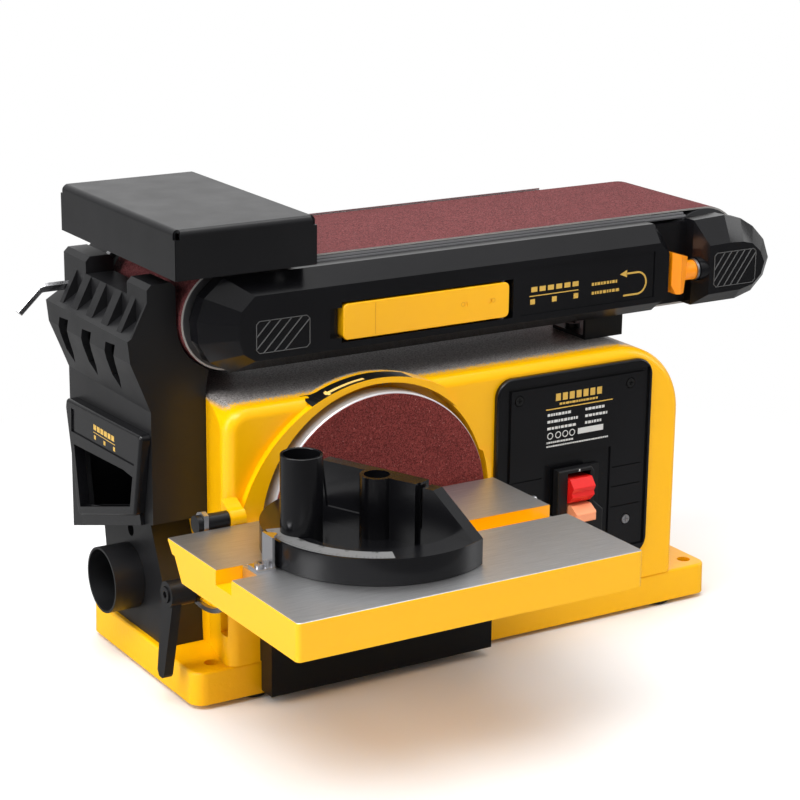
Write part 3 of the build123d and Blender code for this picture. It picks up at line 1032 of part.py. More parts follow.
# ---------------------------------------------------------------- support bracket, cord
with BuildPart() as support_bracket:
    block((104.5, 134.5), (-41.5, -39.0), (BODY_TOP + GAP, 203.0))
    block((104.5, 134.5), (-41.5, -5.0), (BODY_TOP + GAP, BODY_TOP + 2.6))
    rod("Z", (BODY_TOP, BODY_TOP + 4), BRACKET_SCREW, 2.5, mode=Mode.SUBTRACT)
save(support_bracket, "support_bracket")

CORD_R = 3.6
CORD_EXIT = (126.0, 40.0)       # (x, z) of the cord's hole in the rear panel
CORD_START = (CORD_EXIT[0], BODY_BACK - 7, CORD_EXIT[1])
PLUG_X = (-32.0, 0.0)
PLUG_Y = 134.0
CORD_BEND = 12.0                # radius of the cord's two bends
CORD_REST = 4.5                 # height of the cord's axis where it lies on the bench

with BuildPart() as power_cord:
    with BuildLine() as cord_line:
        FilletPolyline(CORD_START, (CORD_EXIT[0], PLUG_Y - 14, CORD_EXIT[1]),
                       (CORD_EXIT[0], PLUG_Y, CORD_REST),
                       (PLUG_X[1] - 4, PLUG_Y, CORD_REST), radius=CORD_BEND)
    with BuildSketch(Plane(cord_line.wire() @ 0, z_dir=cord_line.wire() % 0)):
        Circle(CORD_R)
    sweep()
    # moulded strain relief, then the plug with its two blades
    rod("Y", (BODY_BACK - 4, PANEL_Y + 16), CORD_EXIT, 5.9)
    rod("Y", (PANEL_Y + GAP, PANEL_Y + 3), CORD_EXIT, 9.0)
    block(PLUG_X, (PLUG_Y - 9, PLUG_Y + 9), (0.0, 16.0))
    for blade_y in (PLUG_Y - 4.5, PLUG_Y + 4.5):
        block((PLUG_X[0] - 16, PLUG_X[0]), (blade_y - 0.8, blade_y + 0.8), (5.0, 11.5))
save(power_cord, "power_cord")
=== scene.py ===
"""Looks of the belt and disc sander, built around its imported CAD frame. Metres, +Z up."""
import json
import random
from math import cos, pi, radians, sin, sqrt

import bmesh
import bpy
from mathutils import Matrix, Vector


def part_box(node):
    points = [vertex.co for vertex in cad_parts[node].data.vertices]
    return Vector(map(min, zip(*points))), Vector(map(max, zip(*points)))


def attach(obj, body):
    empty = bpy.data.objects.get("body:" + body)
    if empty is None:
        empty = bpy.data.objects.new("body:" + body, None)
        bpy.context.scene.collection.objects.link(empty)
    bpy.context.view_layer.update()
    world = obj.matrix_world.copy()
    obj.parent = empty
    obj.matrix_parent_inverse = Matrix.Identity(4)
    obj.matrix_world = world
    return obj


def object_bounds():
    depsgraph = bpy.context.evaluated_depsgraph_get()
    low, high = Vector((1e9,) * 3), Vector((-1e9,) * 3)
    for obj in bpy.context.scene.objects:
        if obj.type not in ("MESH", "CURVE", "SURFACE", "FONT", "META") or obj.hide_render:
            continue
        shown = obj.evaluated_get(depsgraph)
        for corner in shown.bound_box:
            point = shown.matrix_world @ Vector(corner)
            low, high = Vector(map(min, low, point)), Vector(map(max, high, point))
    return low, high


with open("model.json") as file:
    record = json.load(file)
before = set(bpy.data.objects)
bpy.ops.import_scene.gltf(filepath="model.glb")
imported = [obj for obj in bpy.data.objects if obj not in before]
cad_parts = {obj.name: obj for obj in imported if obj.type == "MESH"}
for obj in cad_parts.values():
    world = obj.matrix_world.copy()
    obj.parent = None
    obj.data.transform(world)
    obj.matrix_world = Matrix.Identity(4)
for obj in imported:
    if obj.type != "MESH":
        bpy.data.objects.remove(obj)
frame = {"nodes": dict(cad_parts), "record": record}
CAD_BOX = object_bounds()
NODES = frame["nodes"]
MM = 0.001
SEED = 7

# ---------------------------------------------------------------- view and light, in metres
CAMERA_AT = (-0.7725, -1.2291, 0.5709)
CAMERA_YAW = 0.55419            # radians to the right of +Y
CAMERA_PITCH = -0.28515         # radians above the horizon
CAMERA_ROLL = 0.01121
LENS_MM = 104.46
FLOOR_Z = CAD_BOX[0][2]
WORLD_LOW = 0.10                # strength of the surroundings at eye level and overhead
WORLD_HIGH = 0.85
WORLD_BACK = 0.95               # their strength straight behind the object
BACK_SPAN = (0.3, 0.9)          # cosines of the angle to BEHIND that give none and all of that strength
BEHIND = (0.53, 0.85, 0.0)      # direction from the camera past the object
FLOOR_SHADE = 0.92              # brightness of the floor's paint
FLOOR_MIRRORED = (0.06, 0.30)   # the same in reflections, FLOOR_REACH in front of and behind the object
FLOOR_REACH = 0.8
FLOOR_FADE = (0.2, 0.55)        # distances from the middle between which it fades to white
FLOOR_GAP = 0.0002              # space between the floor and the feet
LIGHTS_AIM = (0.0, 0.0, 0.15)
LIGHTS = (                      # name, place, size and power of each soft light
    ("key_light", (-0.7, -0.9, 1.9), (1.0, 1.0), 20),
    ("upper_left_light", (-1.3, -0.15, 1.75), (0.8, 0.8), 14),
    ("top_light", (0.3, 0.3, 2.0), (1.6, 1.2), 14),
    ("left_light", (-2.2, 0.1, 0.8), (0.9, 1.4), 20),
    ("right_light", (1.9, -0.7, 0.9), (0.7, 1.4), 8),
)

# ---------------------------------------------------------------- looks and places, in millimetres
YELLOW = (1.0, 0.50, 0.0)
PAPER = (0.42, 0.40, 0.38)      # backing of the abrasives, bare at a cut edge
GRIT = 1500.0                   # their grains per metre
REFLECTION_FROM = (-67.0, -52.0)      # y between which the painted reflection on the top under the belt sets in, ragged
REFLECTION_TOP = (178.5, 180.5)       # z between which it sets in
BLACKENED = (118.0, 122.0)      # z above which the panel's screws are black
BRUSHED_DEPTH = 0.25            # how far below the table's top its bare metal begins
RING_X = -75.0                  # centre and outer radius of the raised ring around the disc
RING_Z = 92.0
RING_R = 98.0
MITRE_AT = (-123.5, -156.5)     # (x, y) of the mitre head's pivot
RIM_TOP = 132.5                 # top of the mitre head's rim
SCALE_ARC = (166.0, 248.0)      # first and last angle of its scale, in degrees
SCALE_R = (55.0, 65.4)          # the scale's two radii
SCALE_STEPS = 40
NUMBER_R = 57.0                 # radius at which its numbers stand, and their height
NUMBER_SIZE = 4.2
LABEL_SUNK = 0.8                # depth of the cover's label behind its front
STRIP = 0.15                    # thickness of the ring's label, and of small print
PRINT = 0.08
CLEAR = 20.0                    # distance outside the ring from which its surface is looked for
PANEL_ROWS = (147.4, 142.9, 138.4)      # z of the lines of small print on the control panel
PANEL_COLUMNS = ((51.0, 66, 76), (80.6, 92, 100))   # x where they start, and the range where they end
PANEL_RINGS = (53.4, 59.6, 65.2, 70.6)  # x of its small printed rings
GUIDE_START = -104.0            # left end and length of the guides beside the belt
GUIDE_LENGTH = 288.0
GUIDES = (("belt_guide_low", -40.3, 256.6), ("belt_guide_high", -37.9, 257.9))     # name, y and z
GUIDE_PROFILE = ((-0.9, -0.9), (0.9, -0.9), (1.1, 0), (0.6, 1.0), (-0.6, 1.0), (-1.1, 0))
COVER_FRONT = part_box("belt_front_cover")[0][1] / MM

# ---------------------------------------------------------------- node helpers
def new_material(name):
    """A node material; returns it with its node tree and its shader."""
    made = bpy.data.materials.new(name)
    made.use_nodes = True
    return made, made.node_tree, made.node_tree.nodes["Principled BSDF"]


def node(tree, kind, **inputs):
    """Add a shader node and set its inputs by name (spaces as underscores)."""
    made = tree.nodes.new("ShaderNode" + kind)
    for key, value in inputs.items():
        made.inputs[key.replace("_", " ")].default_value = value
    return made


def coordinates(tree, scale=(1, 1, 1)):
    """The piece's own coordinates in metres, stretched by the given scale."""
    source = node(tree, "TexCoord")
    mapping = node(tree, "Mapping", Scale=scale)
    tree.links.new(source.outputs["Object"], mapping.inputs["Vector"])
    return mapping.outputs["Vector"]


def noise(tree, scale, detail=3.0, stretch=(1, 1, 1), roughness=0.5):
    """The value of a noise pattern whose scale is in waves per metre."""
    made = node(tree, "TexNoise", Scale=scale, Detail=detail, Roughness=roughness)
    tree.links.new(coordinates(tree, stretch), made.inputs["Vector"])
    return made.outputs["Fac"]


def ramp(tree, value, stops):
    """Colours or greys along a value; stops are (position, colour)."""
    made = tree.nodes.new("ShaderNodeValToRGB")
    elements = made.color_ramp.elements
    while len(elements) < len(stops):
        elements.new(0.5)
    for element, (position, color) in zip(elements, stops):
        element.position = position
        element.color = (*color, 1)
    tree.links.new(value, made.inputs["Fac"])
    return made.outputs["Color"]


def spread(tree, value, low, high):
    """Map a 0..1 value to low..high."""
    made = node(tree, "MapRange", To_Min=low, To_Max=high)
    tree.links.new(value, made.inputs["Value"])
    return made.outputs["Result"]


def bump(tree, shader, height, distance):
    """Drive the shader's normal by a height pattern; distance in metres."""
    made = node(tree, "Bump", Strength=1.0, Distance=distance)
    tree.links.new(height, made.inputs["Height"])
    tree.links.new(made.outputs["Normal"], shader.inputs["Normal"])


def feed(tree, source, target):
    """Feed an input from a socket, a colour or a number."""
    if isinstance(source, bpy.types.NodeSocket):
        tree.links.new(source, target)
    elif isinstance(source, tuple):
        target.default_value = (*source, 1)
    else:
        target.default_value = source


def mix_colors(tree, factor, first, second, blend="MIX"):
    """Blend two colours, each a socket or a colour; factor is a socket or a number."""
    made = node(tree, "Mix")
    made.data_type = "RGBA"
    made.blend_type = blend
    feed(tree, factor, made.inputs["Factor"])
    feed(tree, first, made.inputs["A"])
    feed(tree, second, made.inputs["B"])
    return made.outputs["Result"]


def axes(tree, source="Object"):
    """X, Y and Z of a texture coordinate."""
    split = node(tree, "SeparateXYZ")
    tree.links.new(node(tree, "TexCoord").outputs[source], split.inputs["Vector"])
    return split.outputs


def shade(color, factor):
    """The colour made lighter or darker."""
    return tuple(min(1.0, channel * factor) for channel in color)


def math_node(tree, operation, first, second):
    """One sum on two values, the second a socket or a number; DOT takes directions."""
    kind = "VectorMath" if operation == "DOT" else "Math"
    made = node(tree, kind)
    made.operation = "DOT_PRODUCT" if operation == "DOT" else operation
    tree.links.new(first, made.inputs[0])
    if isinstance(second, bpy.types.NodeSocket):
        tree.links.new(second, made.inputs[1])
    else:
        made.inputs[1].default_value = second
    return made.outputs["Value"]


# ---------------------------------------------------------------- camera, lights and stage
def aim(obj, target):
    """Turn a light so that it shines at the target."""
    obj.rotation_euler = (Vector(target) - obj.location).to_track_quat("-Z", "Y").to_euler()


def add_camera():
    """The photograph's camera."""
    data = bpy.data.cameras.new("camera")
    data.lens = LENS_MM
    data.sensor_width = 36.0
    camera = bpy.data.objects.new("camera", data)
    bpy.context.collection.objects.link(camera)
    turn = (Matrix.Rotation(-CAMERA_YAW, 4, "Z") @ Matrix.Rotation(pi / 2 + CAMERA_PITCH, 4, "X")
            @ Matrix.Rotation(CAMERA_ROLL, 4, "Z"))
    camera.matrix_world = Matrix.Translation(CAMERA_AT) @ turn
    bpy.context.scene.camera = camera


def add_area(name, at, size, power):
    """A soft rectangular light."""
    data = bpy.data.lights.new(name, "AREA")
    data.shape = "RECTANGLE"
    data.size, data.size_y = size
    data.energy = power
    light = bpy.data.objects.new(name, data)
    bpy.context.collection.objects.link(light)
    light.location = at
    aim(light, LIGHTS_AIM)


def add_surroundings():
    """White to the camera; to everything else bright behind the object and above it, dim in front."""
    world = bpy.data.worlds.new("studio")
    world.use_nodes = True
    tree = world.node_tree
    lit = tree.nodes["Background"]
    source = node(tree, "TexCoord")
    split = node(tree, "SeparateXYZ")
    tree.links.new(source.outputs["Generated"], split.inputs["Vector"])
    height = node(tree, "MapRange", From_Min=0.0, From_Max=1.0, To_Min=WORLD_LOW, To_Max=WORLD_HIGH)
    tree.links.new(split.outputs["Z"], height.inputs["Value"])
    along = math_node(tree, "DOT", source.outputs["Generated"], BEHIND)
    back = node(tree, "MapRange", From_Min=BACK_SPAN[0], From_Max=BACK_SPAN[1], To_Min=0.0,
                To_Max=WORLD_BACK)
    tree.links.new(along, back.inputs["Value"])
    brighter = math_node(tree, "MAXIMUM", height.outputs["Result"], back.outputs["Result"])
    tree.links.new(brighter, lit.inputs["Strength"])
    plain = node(tree, "Background", Strength=1.0)
    plain.inputs["Color"].default_value = (1, 1, 1, 1)
    lit.inputs["Color"].default_value = (1, 1, 1, 1)
    path = node(tree, "LightPath")
    mix = node(tree, "MixShader")
    tree.links.new(path.outputs["Is Camera Ray"], mix.inputs["Fac"])
    tree.links.new(lit.outputs["Background"], mix.inputs[1])
    tree.links.new(plain.outputs["Background"], mix.inputs[2])
    tree.links.new(mix.outputs["Shader"], tree.nodes["World Output"].inputs["Surface"])
    bpy.context.scene.world = world


def floor_paint():
    """Pale paint that fades to pure white away from the object and looks dimmer in reflections."""
    made, tree, shader = new_material("floor_paint")
    place = node(tree, "TexCoord").outputs["Object"]
    split = node(tree, "SeparateXYZ")
    tree.links.new(place, split.inputs["Vector"])
    path = node(tree, "LightPath")
    mirrored = node(tree, "MapRange", From_Min=-FLOOR_REACH, From_Max=FLOOR_REACH,
                    To_Min=FLOOR_MIRRORED[0], To_Max=FLOOR_MIRRORED[1])
    tree.links.new(split.outputs["Y"], mirrored.inputs["Value"])
    level = node(tree, "Mix", A=FLOOR_SHADE)
    tree.links.new(path.outputs["Is Glossy Ray"], level.inputs["Factor"])
    tree.links.new(mirrored.outputs["Result"], level.inputs["B"])
    tree.links.new(level.outputs["Result"], shader.inputs["Base Color"])
    shader.inputs["Roughness"].default_value = 0.9
    distance = node(tree, "VectorMath")
    distance.operation = "LENGTH"
    tree.links.new(place, distance.inputs[0])
    fade = node(tree, "MapRange", From_Min=FLOOR_FADE[0], From_Max=FLOOR_FADE[1])
    tree.links.new(distance.outputs["Value"], fade.inputs["Value"])
    white = node(tree, "Emission", Strength=1.0)
    mix = node(tree, "MixShader")
    tree.links.new(math_node(tree, "MULTIPLY", fade.outputs["Result"], path.outputs["Is Camera Ray"]),
                   mix.inputs["Fac"])
    tree.links.new(shader.outputs["BSDF"], mix.inputs[1])
    tree.links.new(white.outputs["Emission"], mix.inputs[2])
    tree.links.new(mix.outputs["Shader"], tree.nodes["Material Output"].inputs["Surface"])
    return made


def add_stage():
    """Pale floor, pale surroundings and soft lights."""
    bpy.ops.mesh.primitive_plane_add(size=30, location=(0, 0, FLOOR_Z - FLOOR_GAP))
    floor = bpy.context.object
    floor.name = "floor"
    floor.data.materials.append(floor_paint())
    add_surroundings()
    for name, at, size, power in LIGHTS:
        add_area(name, at, size, power)
    bpy.context.scene.view_settings.view_transform = "Standard"


# ---------------------------------------------------------------- materials
def coated(name, color, rough, grain=900, depth=0.05, uneven=0.08, metal=0.0, coat=0.0, gloss=0.5):
    """Paint, plastic or metal: clouded colour, uneven gloss, fine grain; depth in millimetres."""
    made, tree, shader = new_material(name)
    cloud = noise(tree, 14, 4)
    tint = ramp(tree, cloud, ((0.3, shade(color, 1 - uneven)), (0.7, shade(color, 1 + uneven))))
    tree.links.new(tint, shader.inputs["Base Color"])
    tree.links.new(spread(tree, noise(tree, 45, 5), rough * 0.8, rough * 1.25), shader.inputs["Roughness"])
    shader.inputs["Metallic"].default_value = metal
    shader.inputs["Coat Weight"].default_value = coat
    shader.inputs["Coat Roughness"].default_value = 0.08
    shader.inputs["Specular IOR Level"].default_value = gloss
    bump(tree, shader, noise(tree, grain, 2), depth * MM)
    return made


def brushed(name, color, rough, stretch):
    """Metal brushed along the axis whose stretch is lowest."""
    made, tree, shader = new_material(name)
    lines = noise(tree, 9, 6, stretch, 0.7)
    tint = ramp(tree, lines, ((0.25, shade(color, 0.72)), (0.75, shade(color, 1.2))))
    tree.links.new(tint, shader.inputs["Base Color"])
    tree.links.new(spread(tree, lines, rough * 0.75, rough * 1.3), shader.inputs["Roughness"])
    shader.inputs["Metallic"].default_value = 1.0
    bump(tree, shader, lines, 0.02 * MM)
    return made


def abrasive(name, dark, light, fleck, edge_from):
    """Bonded grit with bright flecks; faces whose Y normal squared exceeds edge_from show the backing."""
    made, tree, shader = new_material(name)
    crystals = node(tree, "TexVoronoi", Scale=GRIT)
    tree.links.new(coordinates(tree), crystals.inputs["Vector"])
    grains = ramp(tree, crystals.outputs["Color"], ((0.25, dark), (0.75, light)))
    wear = ramp(tree, noise(tree, 60, 4), ((0.3, (0.8, 0.8, 0.8)), (0.7, (1, 1, 1))))
    worn = mix_colors(tree, 0.6, grains, wear, "MULTIPLY")
    flecks = ramp(tree, noise(tree, GRIT * 0.7, 2), ((0.66, (0, 0, 0)), (0.74, (1, 1, 1))))
    speckled = mix_colors(tree, flecks, worn, fleck)
    # the sheet's cut edges show its backing
    sideways = axes(tree, "Normal")["Y"]
    cut = math_node(tree, "GREATER_THAN", math_node(tree, "MULTIPLY", sideways, sideways), edge_from)
    tree.links.new(mix_colors(tree, cut, speckled, PAPER), shader.inputs["Base Color"])
    shader.inputs["Roughness"].default_value = 0.75
    shader.inputs["Specular IOR Level"].default_value = 0.15
    bump(tree, shader, crystals.outputs["Distance"], 0.35 * MM)
    return made


MATERIALS = {
    "yellow_casting": coated("yellow_casting", YELLOW, 0.3, grain=420, depth=0.14, uneven=0.02,
                             coat=0.15, gloss=0.3),
    "black_plastic": coated("black_plastic", (0.008, 0.008, 0.009), 0.38, grain=2600, depth=0.03, uneven=0.2,
                            gloss=0.42),
    "black_gloss_plastic": coated("black_gloss_plastic", (0.005, 0.005, 0.006), 0.19, grain=1800,
                                  depth=0.012, uneven=0.2, gloss=0.4),
    "black_sheet": coated("black_sheet", (0.006, 0.006, 0.007), 0.34, grain=1500, depth=0.05,
                          uneven=0.15, gloss=0.4),
    "yellow_plastic": coated("yellow_plastic", (1.0, 0.48, 0.0), 0.3, grain=900, depth=0.02,
                             uneven=0.03, coat=0.15),
    "orange_plastic": coated("orange_plastic", (1.0, 0.30, 0.0), 0.3, grain=900, depth=0.02,
                             uneven=0.03, coat=0.3),
    "red_plastic": coated("red_plastic", (0.75, 0.012, 0.01), 0.25, grain=900, depth=0.015, uneven=0.04,
                          coat=0.3),
    "peach_plastic": coated("peach_plastic", (0.9, 0.33, 0.16), 0.3, grain=900, depth=0.015,
                            uneven=0.04, coat=0.2),
    "abrasive_belt": abrasive("abrasive_belt", (0.09, 0.020, 0.022), (0.21, 0.055, 0.057),
                              (0.36, 0.18, 0.18), 0.5),
    "abrasive_disc": abrasive("abrasive_disc", (0.12, 0.018, 0.016), (0.27, 0.048, 0.042),
                              (0.4, 0.14, 0.13), 2.0),
    "cast_aluminium": coated("cast_aluminium", (0.62, 0.62, 0.63), 0.38, grain=700, depth=0.06, metal=1.0),
    "steel": brushed("steel", (0.55, 0.55, 0.57), 0.3, (60, 60, 400)),
    "bright_plate": coated("bright_plate", (0.62, 0.62, 0.64), 0.4, grain=700, depth=0.03, uneven=0.04,
                           metal=0.55),
    "zinc_steel": coated("zinc_steel", (0.7, 0.7, 0.72), 0.22, grain=500, depth=0.03, metal=1.0),
    "dark_iron": coated("dark_iron", (0.045, 0.045, 0.048), 0.5, grain=600, depth=0.15, uneven=0.2),
    "copper": coated("copper", (0.6, 0.2, 0.06), 0.35, grain=700, depth=0.4, metal=1.0),
    "rubber": coated("rubber", (0.012, 0.012, 0.012), 0.7, grain=1600, depth=0.06, uneven=0.2),
}


def above(tree, axis, low, high):
    """A 0..1 mask that grows between two places (millimetres) along an axis of the piece."""
    made = node(tree, "MapRange", From_Min=low * MM, From_Max=high * MM)
    tree.links.new(axes(tree)[axis], made.inputs["Value"])
    return made.outputs["Result"]


def table_paint():
    """Yellow enamel below, and a face brushed along X on the very top."""
    made, tree, shader = new_material("table_paint")
    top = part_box("disc_table")[1][2]
    mask = math_node(tree, "GREATER_THAN", axes(tree)["Z"], top - BRUSHED_DEPTH * MM)
    lines = noise(tree, 9, 8, (5, 420, 420), 0.75)
    cloud = noise(tree, 9, 3)
    metal_tint = ramp(tree, lines, ((0.25, (0.34, 0.34, 0.345)), (0.75, (0.78, 0.78, 0.79))))
    paint_tint = ramp(tree, cloud, ((0.3, shade(YELLOW, 0.98)), (0.7, YELLOW)))
    tree.links.new(mix_colors(tree, mask, paint_tint, metal_tint), shader.inputs["Base Color"])
    tree.links.new(mask, shader.inputs["Metallic"])
    tree.links.new(spread(tree, mask, 0.24, 0.42), shader.inputs["Roughness"])
    tree.links.new(spread(tree, mask, 0.6, 0.0), shader.inputs["Coat Weight"])
    height = node(tree, "Mix")
    tree.links.new(mask, height.inputs["Factor"])
    tree.links.new(noise(tree, 420, 2), height.inputs["A"])
    tree.links.new(lines, height.inputs["B"])
    bump(tree, shader, height.outputs["Result"], 0.05 * MM)
    return made


def housing_paint():
    """Yellow enamel whose top, under the belt, carries a painted reflection: grey speckle with an uneven
    border.
    """
    made, tree, shader = new_material("housing_paint")
    cloud = noise(tree, 14, 4)
    paint = ramp(tree, cloud, ((0.3, shade(YELLOW, 0.98)), (0.7, YELLOW)))
    grains = noise(tree, 900, 3)
    # painted reflection: grey speckle on the top face under the belt, standing in for light mirrored there
    painted_reflection = ramp(tree, grains, ((0.35, (0.10, 0.085, 0.075)), (0.62, (0.46, 0.44, 0.43))))
    ragged = math_node(tree, "ADD", above(tree, "Y", *REFLECTION_FROM), spread(tree, grains, -0.9, 0.9))
    inside = math_node(tree, "MULTIPLY", above(tree, "Z", *REFLECTION_TOP),
                       math_node(tree, "GREATER_THAN", ragged, 0.5))
    tree.links.new(mix_colors(tree, inside, paint, painted_reflection), shader.inputs["Base Color"])
    shader.inputs["Roughness"].default_value = 0.3
    shader.inputs["Coat Weight"].default_value = 0.15
    shader.inputs["Specular IOR Level"].default_value = 0.3
    bump(tree, shader, noise(tree, 420, 2), 0.14 * MM)
    return made


def screw_heads():
    """Bright heads low on the panel; those higher up are blackened."""
    made, tree, shader = new_material("screw_heads")
    high = above(tree, "Z", *BLACKENED)
    turned = noise(tree, 700, 3)
    bright = ramp(tree, turned, ((0.3, (0.5, 0.5, 0.52)), (0.7, (0.8, 0.8, 0.82))))
    black = ramp(tree, turned, ((0.3, (0.005, 0.005, 0.005)), (0.7, (0.009, 0.009, 0.009))))
    tree.links.new(mix_colors(tree, high, bright, black), shader.inputs["Base Color"])
    tree.links.new(spread(tree, high, 1.0, 0.0), shader.inputs["Metallic"])
    shader.inputs["Roughness"].default_value = 0.3
    bump(tree, shader, turned, 0.02 * MM)
    return made


MATERIALS["table_paint"] = table_paint()
MATERIALS["housing_paint"] = housing_paint()
MATERIALS["screw_heads"] = screw_heads()


# ---------------------------------------------------------------- CAD nodes: finish and soft edges
SLOT_OF = {entry["node"]: entry["material_slot"] for entry in frame["record"]["subparts"]}
# width of the rounded edges, in millimetres
BEVELS = {
    "body_housing": 0.9, "base_casting": 1.2, "disc_table": 0.8, "stop_box": 0.9, "dust_hood": 1.0,
    "hood_grip": 1.0, "belt_front_cover": 0.9, "nose_cover": 0.9, "mitre_head": 0.9, "mitre_handle": 0.4,
    "lower_disc_guard": 0.5, "support_bracket": 0.4, "tension_lever": 0.4, "tracking_knob": 0.5,
    "switch_housing": 0.6, "switch_rocker": 0.5, "safety_key": 0.5, "control_panel": 0.4,
    "table_lock_lever": 0.7, "table_bracket_left": 0.3, "table_bracket_right": 0.3, "mitre_bar": 0.3,
    "mitre_pointer": 0.2, "pulley_cover": 0.8, "rear_panel": 0.4, "belt_arm": 0.6, "drum_bracket": 0.6,
    "platen": 0.3, "dust_port": 0.3, "power_cord": 0.3,
}
OWN_FINISH = {"disc_table": "table_paint", "disc_plate": "bright_plate", "mitre_head": "black_gloss_plastic",
              "mitre_handle": "black_gloss_plastic", "body_housing": "housing_paint",
              "housing_screws": "screw_heads"}


def dress(name, obj):
    """Give a CAD node its finish and round its sharp edges."""
    finish = OWN_FINISH.get(name, SLOT_OF[name])
    obj.data.materials.clear()
    obj.data.materials.append(MATERIALS[finish])
    if name in BEVELS:
        edge = obj.modifiers.new("soft_edges", "BEVEL")
        edge.width = BEVELS[name] * MM
        edge.segments = 2
        edge.limit_method = "ANGLE"
        edge.angle_limit = radians(35)
        edge.harden_normals = True
        edge.use_clamp_overlap = True


for node_name, node_object in NODES.items():
    dress(node_name, node_object)


# ---------------------------------------------------------------- printed and moulded details
INK = {
    "gold": coated("gold_ink", (0.80, 0.50, 0.10), 0.35, grain=3000, depth=0.01, uneven=0.12, metal=0.3),
    "white": coated("white_ink", (0.62, 0.62, 0.60), 0.45, grain=3000, depth=0.01, uneven=0.10),
    "label": coated("black_film", (0.006, 0.006, 0.006), 0.3, grain=2200, depth=0.01, uneven=0.2, gloss=0.4),
    "arrow": coated("yellow_ink", (0.95, 0.62, 0.18), 0.4, grain=3000, depth=0.01, uneven=0.06),
    "seam": coated("lever_seam", (0.72, 0.30, 0.0), 0.35, grain=900, depth=0.02, uneven=0.05),
    # grey lighter than the black plastic: a painted highlight on the raised ribs and pocket borders
    "ridge": coated("painted_ridge_highlight", (0.10, 0.10, 0.10), 0.3, grain=2400, depth=0.01, uneven=0.2),
    "guide": coated("guide_grey", (0.10, 0.10, 0.105), 0.3, grain=900, depth=0.02, uneven=0.15),
    "scale": coated("scale_plate", (0.17, 0.17, 0.17), 0.5, grain=1500, depth=0.02, uneven=0.15),
}


def facing(direction, level):
    """A flat place for details, in millimetres: points are given by their two other coordinates."""
    if direction == "front":
        return lambda u, v, up: Vector((u, level - up, v))
    if direction == "left":
        return lambda u, v, up: Vector((level - up, u, v))
    return lambda u, v, up: Vector((u, v, level + up))


def relief(name, outlines, place, ink, body, thick=0.12):
    """Flat-topped shapes standing off a surface, all in one piece; place maps (u, v, height) to a point."""
    mesh = bpy.data.meshes.new(name)
    vertices = []
    faces = []
    for outline in outlines:
        start = len(vertices)
        count = len(outline)
        vertices += [place(u, v, 0.0) * MM for u, v in outline]
        vertices += [place(u, v, thick) * MM for u, v in outline]
        faces.append([start + count + corner for corner in range(count)])
        faces.append([start + corner for corner in reversed(range(count))])
        for corner in range(count):
            after = (corner + 1) % count
            faces.append([start + corner, start + after, start + count + after, start + count + corner])
    mesh.from_pydata(vertices, [], faces)
    mesh.materials.append(INK[ink])
    made = bpy.data.objects.new(name, mesh)
    bpy.context.collection.objects.link(made)
    made.data.validate()
    fix = bmesh.new()
    fix.from_mesh(mesh)
    bmesh.ops.recalc_face_normals(fix, faces=fix.faces)
    fix.to_mesh(mesh)
    fix.free()
    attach(made, body)


def bar(u, v):
    """A rectangle between two u and two v values."""
    return [(u[0], v[0]), (u[1], v[0]), (u[1], v[1]), (u[0], v[1])]


def blocks(start, pitch, count, width, v):
    """A row of equal rectangles between two v values; stands in for large print."""
    return [bar((start + pitch * step, start + pitch * step + width), v) for step in range(count)]


def stroke(points, width):
    """Quadrilaterals that follow a line of points."""
    quads = []
    for (u0, v0), (u1, v1) in zip(points, points[1:]):
        length = sqrt((u1 - u0) ** 2 + (v1 - v0) ** 2)
        side_u = -(v1 - v0) / length * width / 2
        side_v = (u1 - u0) / length * width / 2
        quads.append([(u0 + side_u, v0 + side_v), (u0 - side_u, v0 - side_v), (u1 - side_u, v1 - side_v),
                      (u1 + side_u, v1 + side_v)])
    return quads


def dashes(start, end, level, height, rng, mean=2.2):
    """A row of short bars that stands in for a line of small print."""
    row = []
    at = start
    while at < end - 0.6:
        length = min(mean * rng.uniform(0.5, 1.3), end - at)
        row.append(bar((at, at + length), (level - height / 2, level + height / 2)))
        at += length + height * 0.35
    return row


def arc(centre, radius, first, last, steps=24):
    """Points along an arc, in degrees."""
    angles = [radians(first + (last - first) * step / steps) for step in range(steps + 1)]
    return [(centre[0] + radius * cos(angle), centre[1] + radius * sin(angle)) for angle in angles]


def ring(centre, radius, width):
    """A closed ring drawn with a line of the given width."""
    return stroke(arc(centre, radius, 0, 360, 16), width)


rng = random.Random(SEED)


def cover_graphics():
    """The belt cover's label: a turn-back arrow, a rule and rows of small print."""
    face = facing("front", COVER_FRONT + LABEL_SUNK)
    turn = [(118.5, 214.6), (129.5, 214.6)] + arc((129.5, 221.8), 7.2, -90, 90) + [(120.5, 229.0)]
    arrow_head = [(121.0, 231.4), (115.4, 229.0), (121.0, 226.6)]
    relief("cover_label_arrow", stroke(turn, 1.2) + [arrow_head], face, "gold", "arm")
    relief("cover_label_rule", [bar((44.7, 82.6), (222.5, 223.1))], face, "gold", "arm")
    title = blocks(46.0, 6.4, 6, 4.6, (225.4, 228.6))
    small = blocks(45.4, 16.8, 3, 3.6, (217.4, 220.8))
    relief("cover_label_blocks", title + small, face, "gold", "arm")
    rows = dashes(93.2, 113.2, 225.0, 1.9, rng) + dashes(93.2, 116.0, 219.2, 1.9, rng)
    relief("cover_label_print", rows, face, "gold", "arm", PRINT)


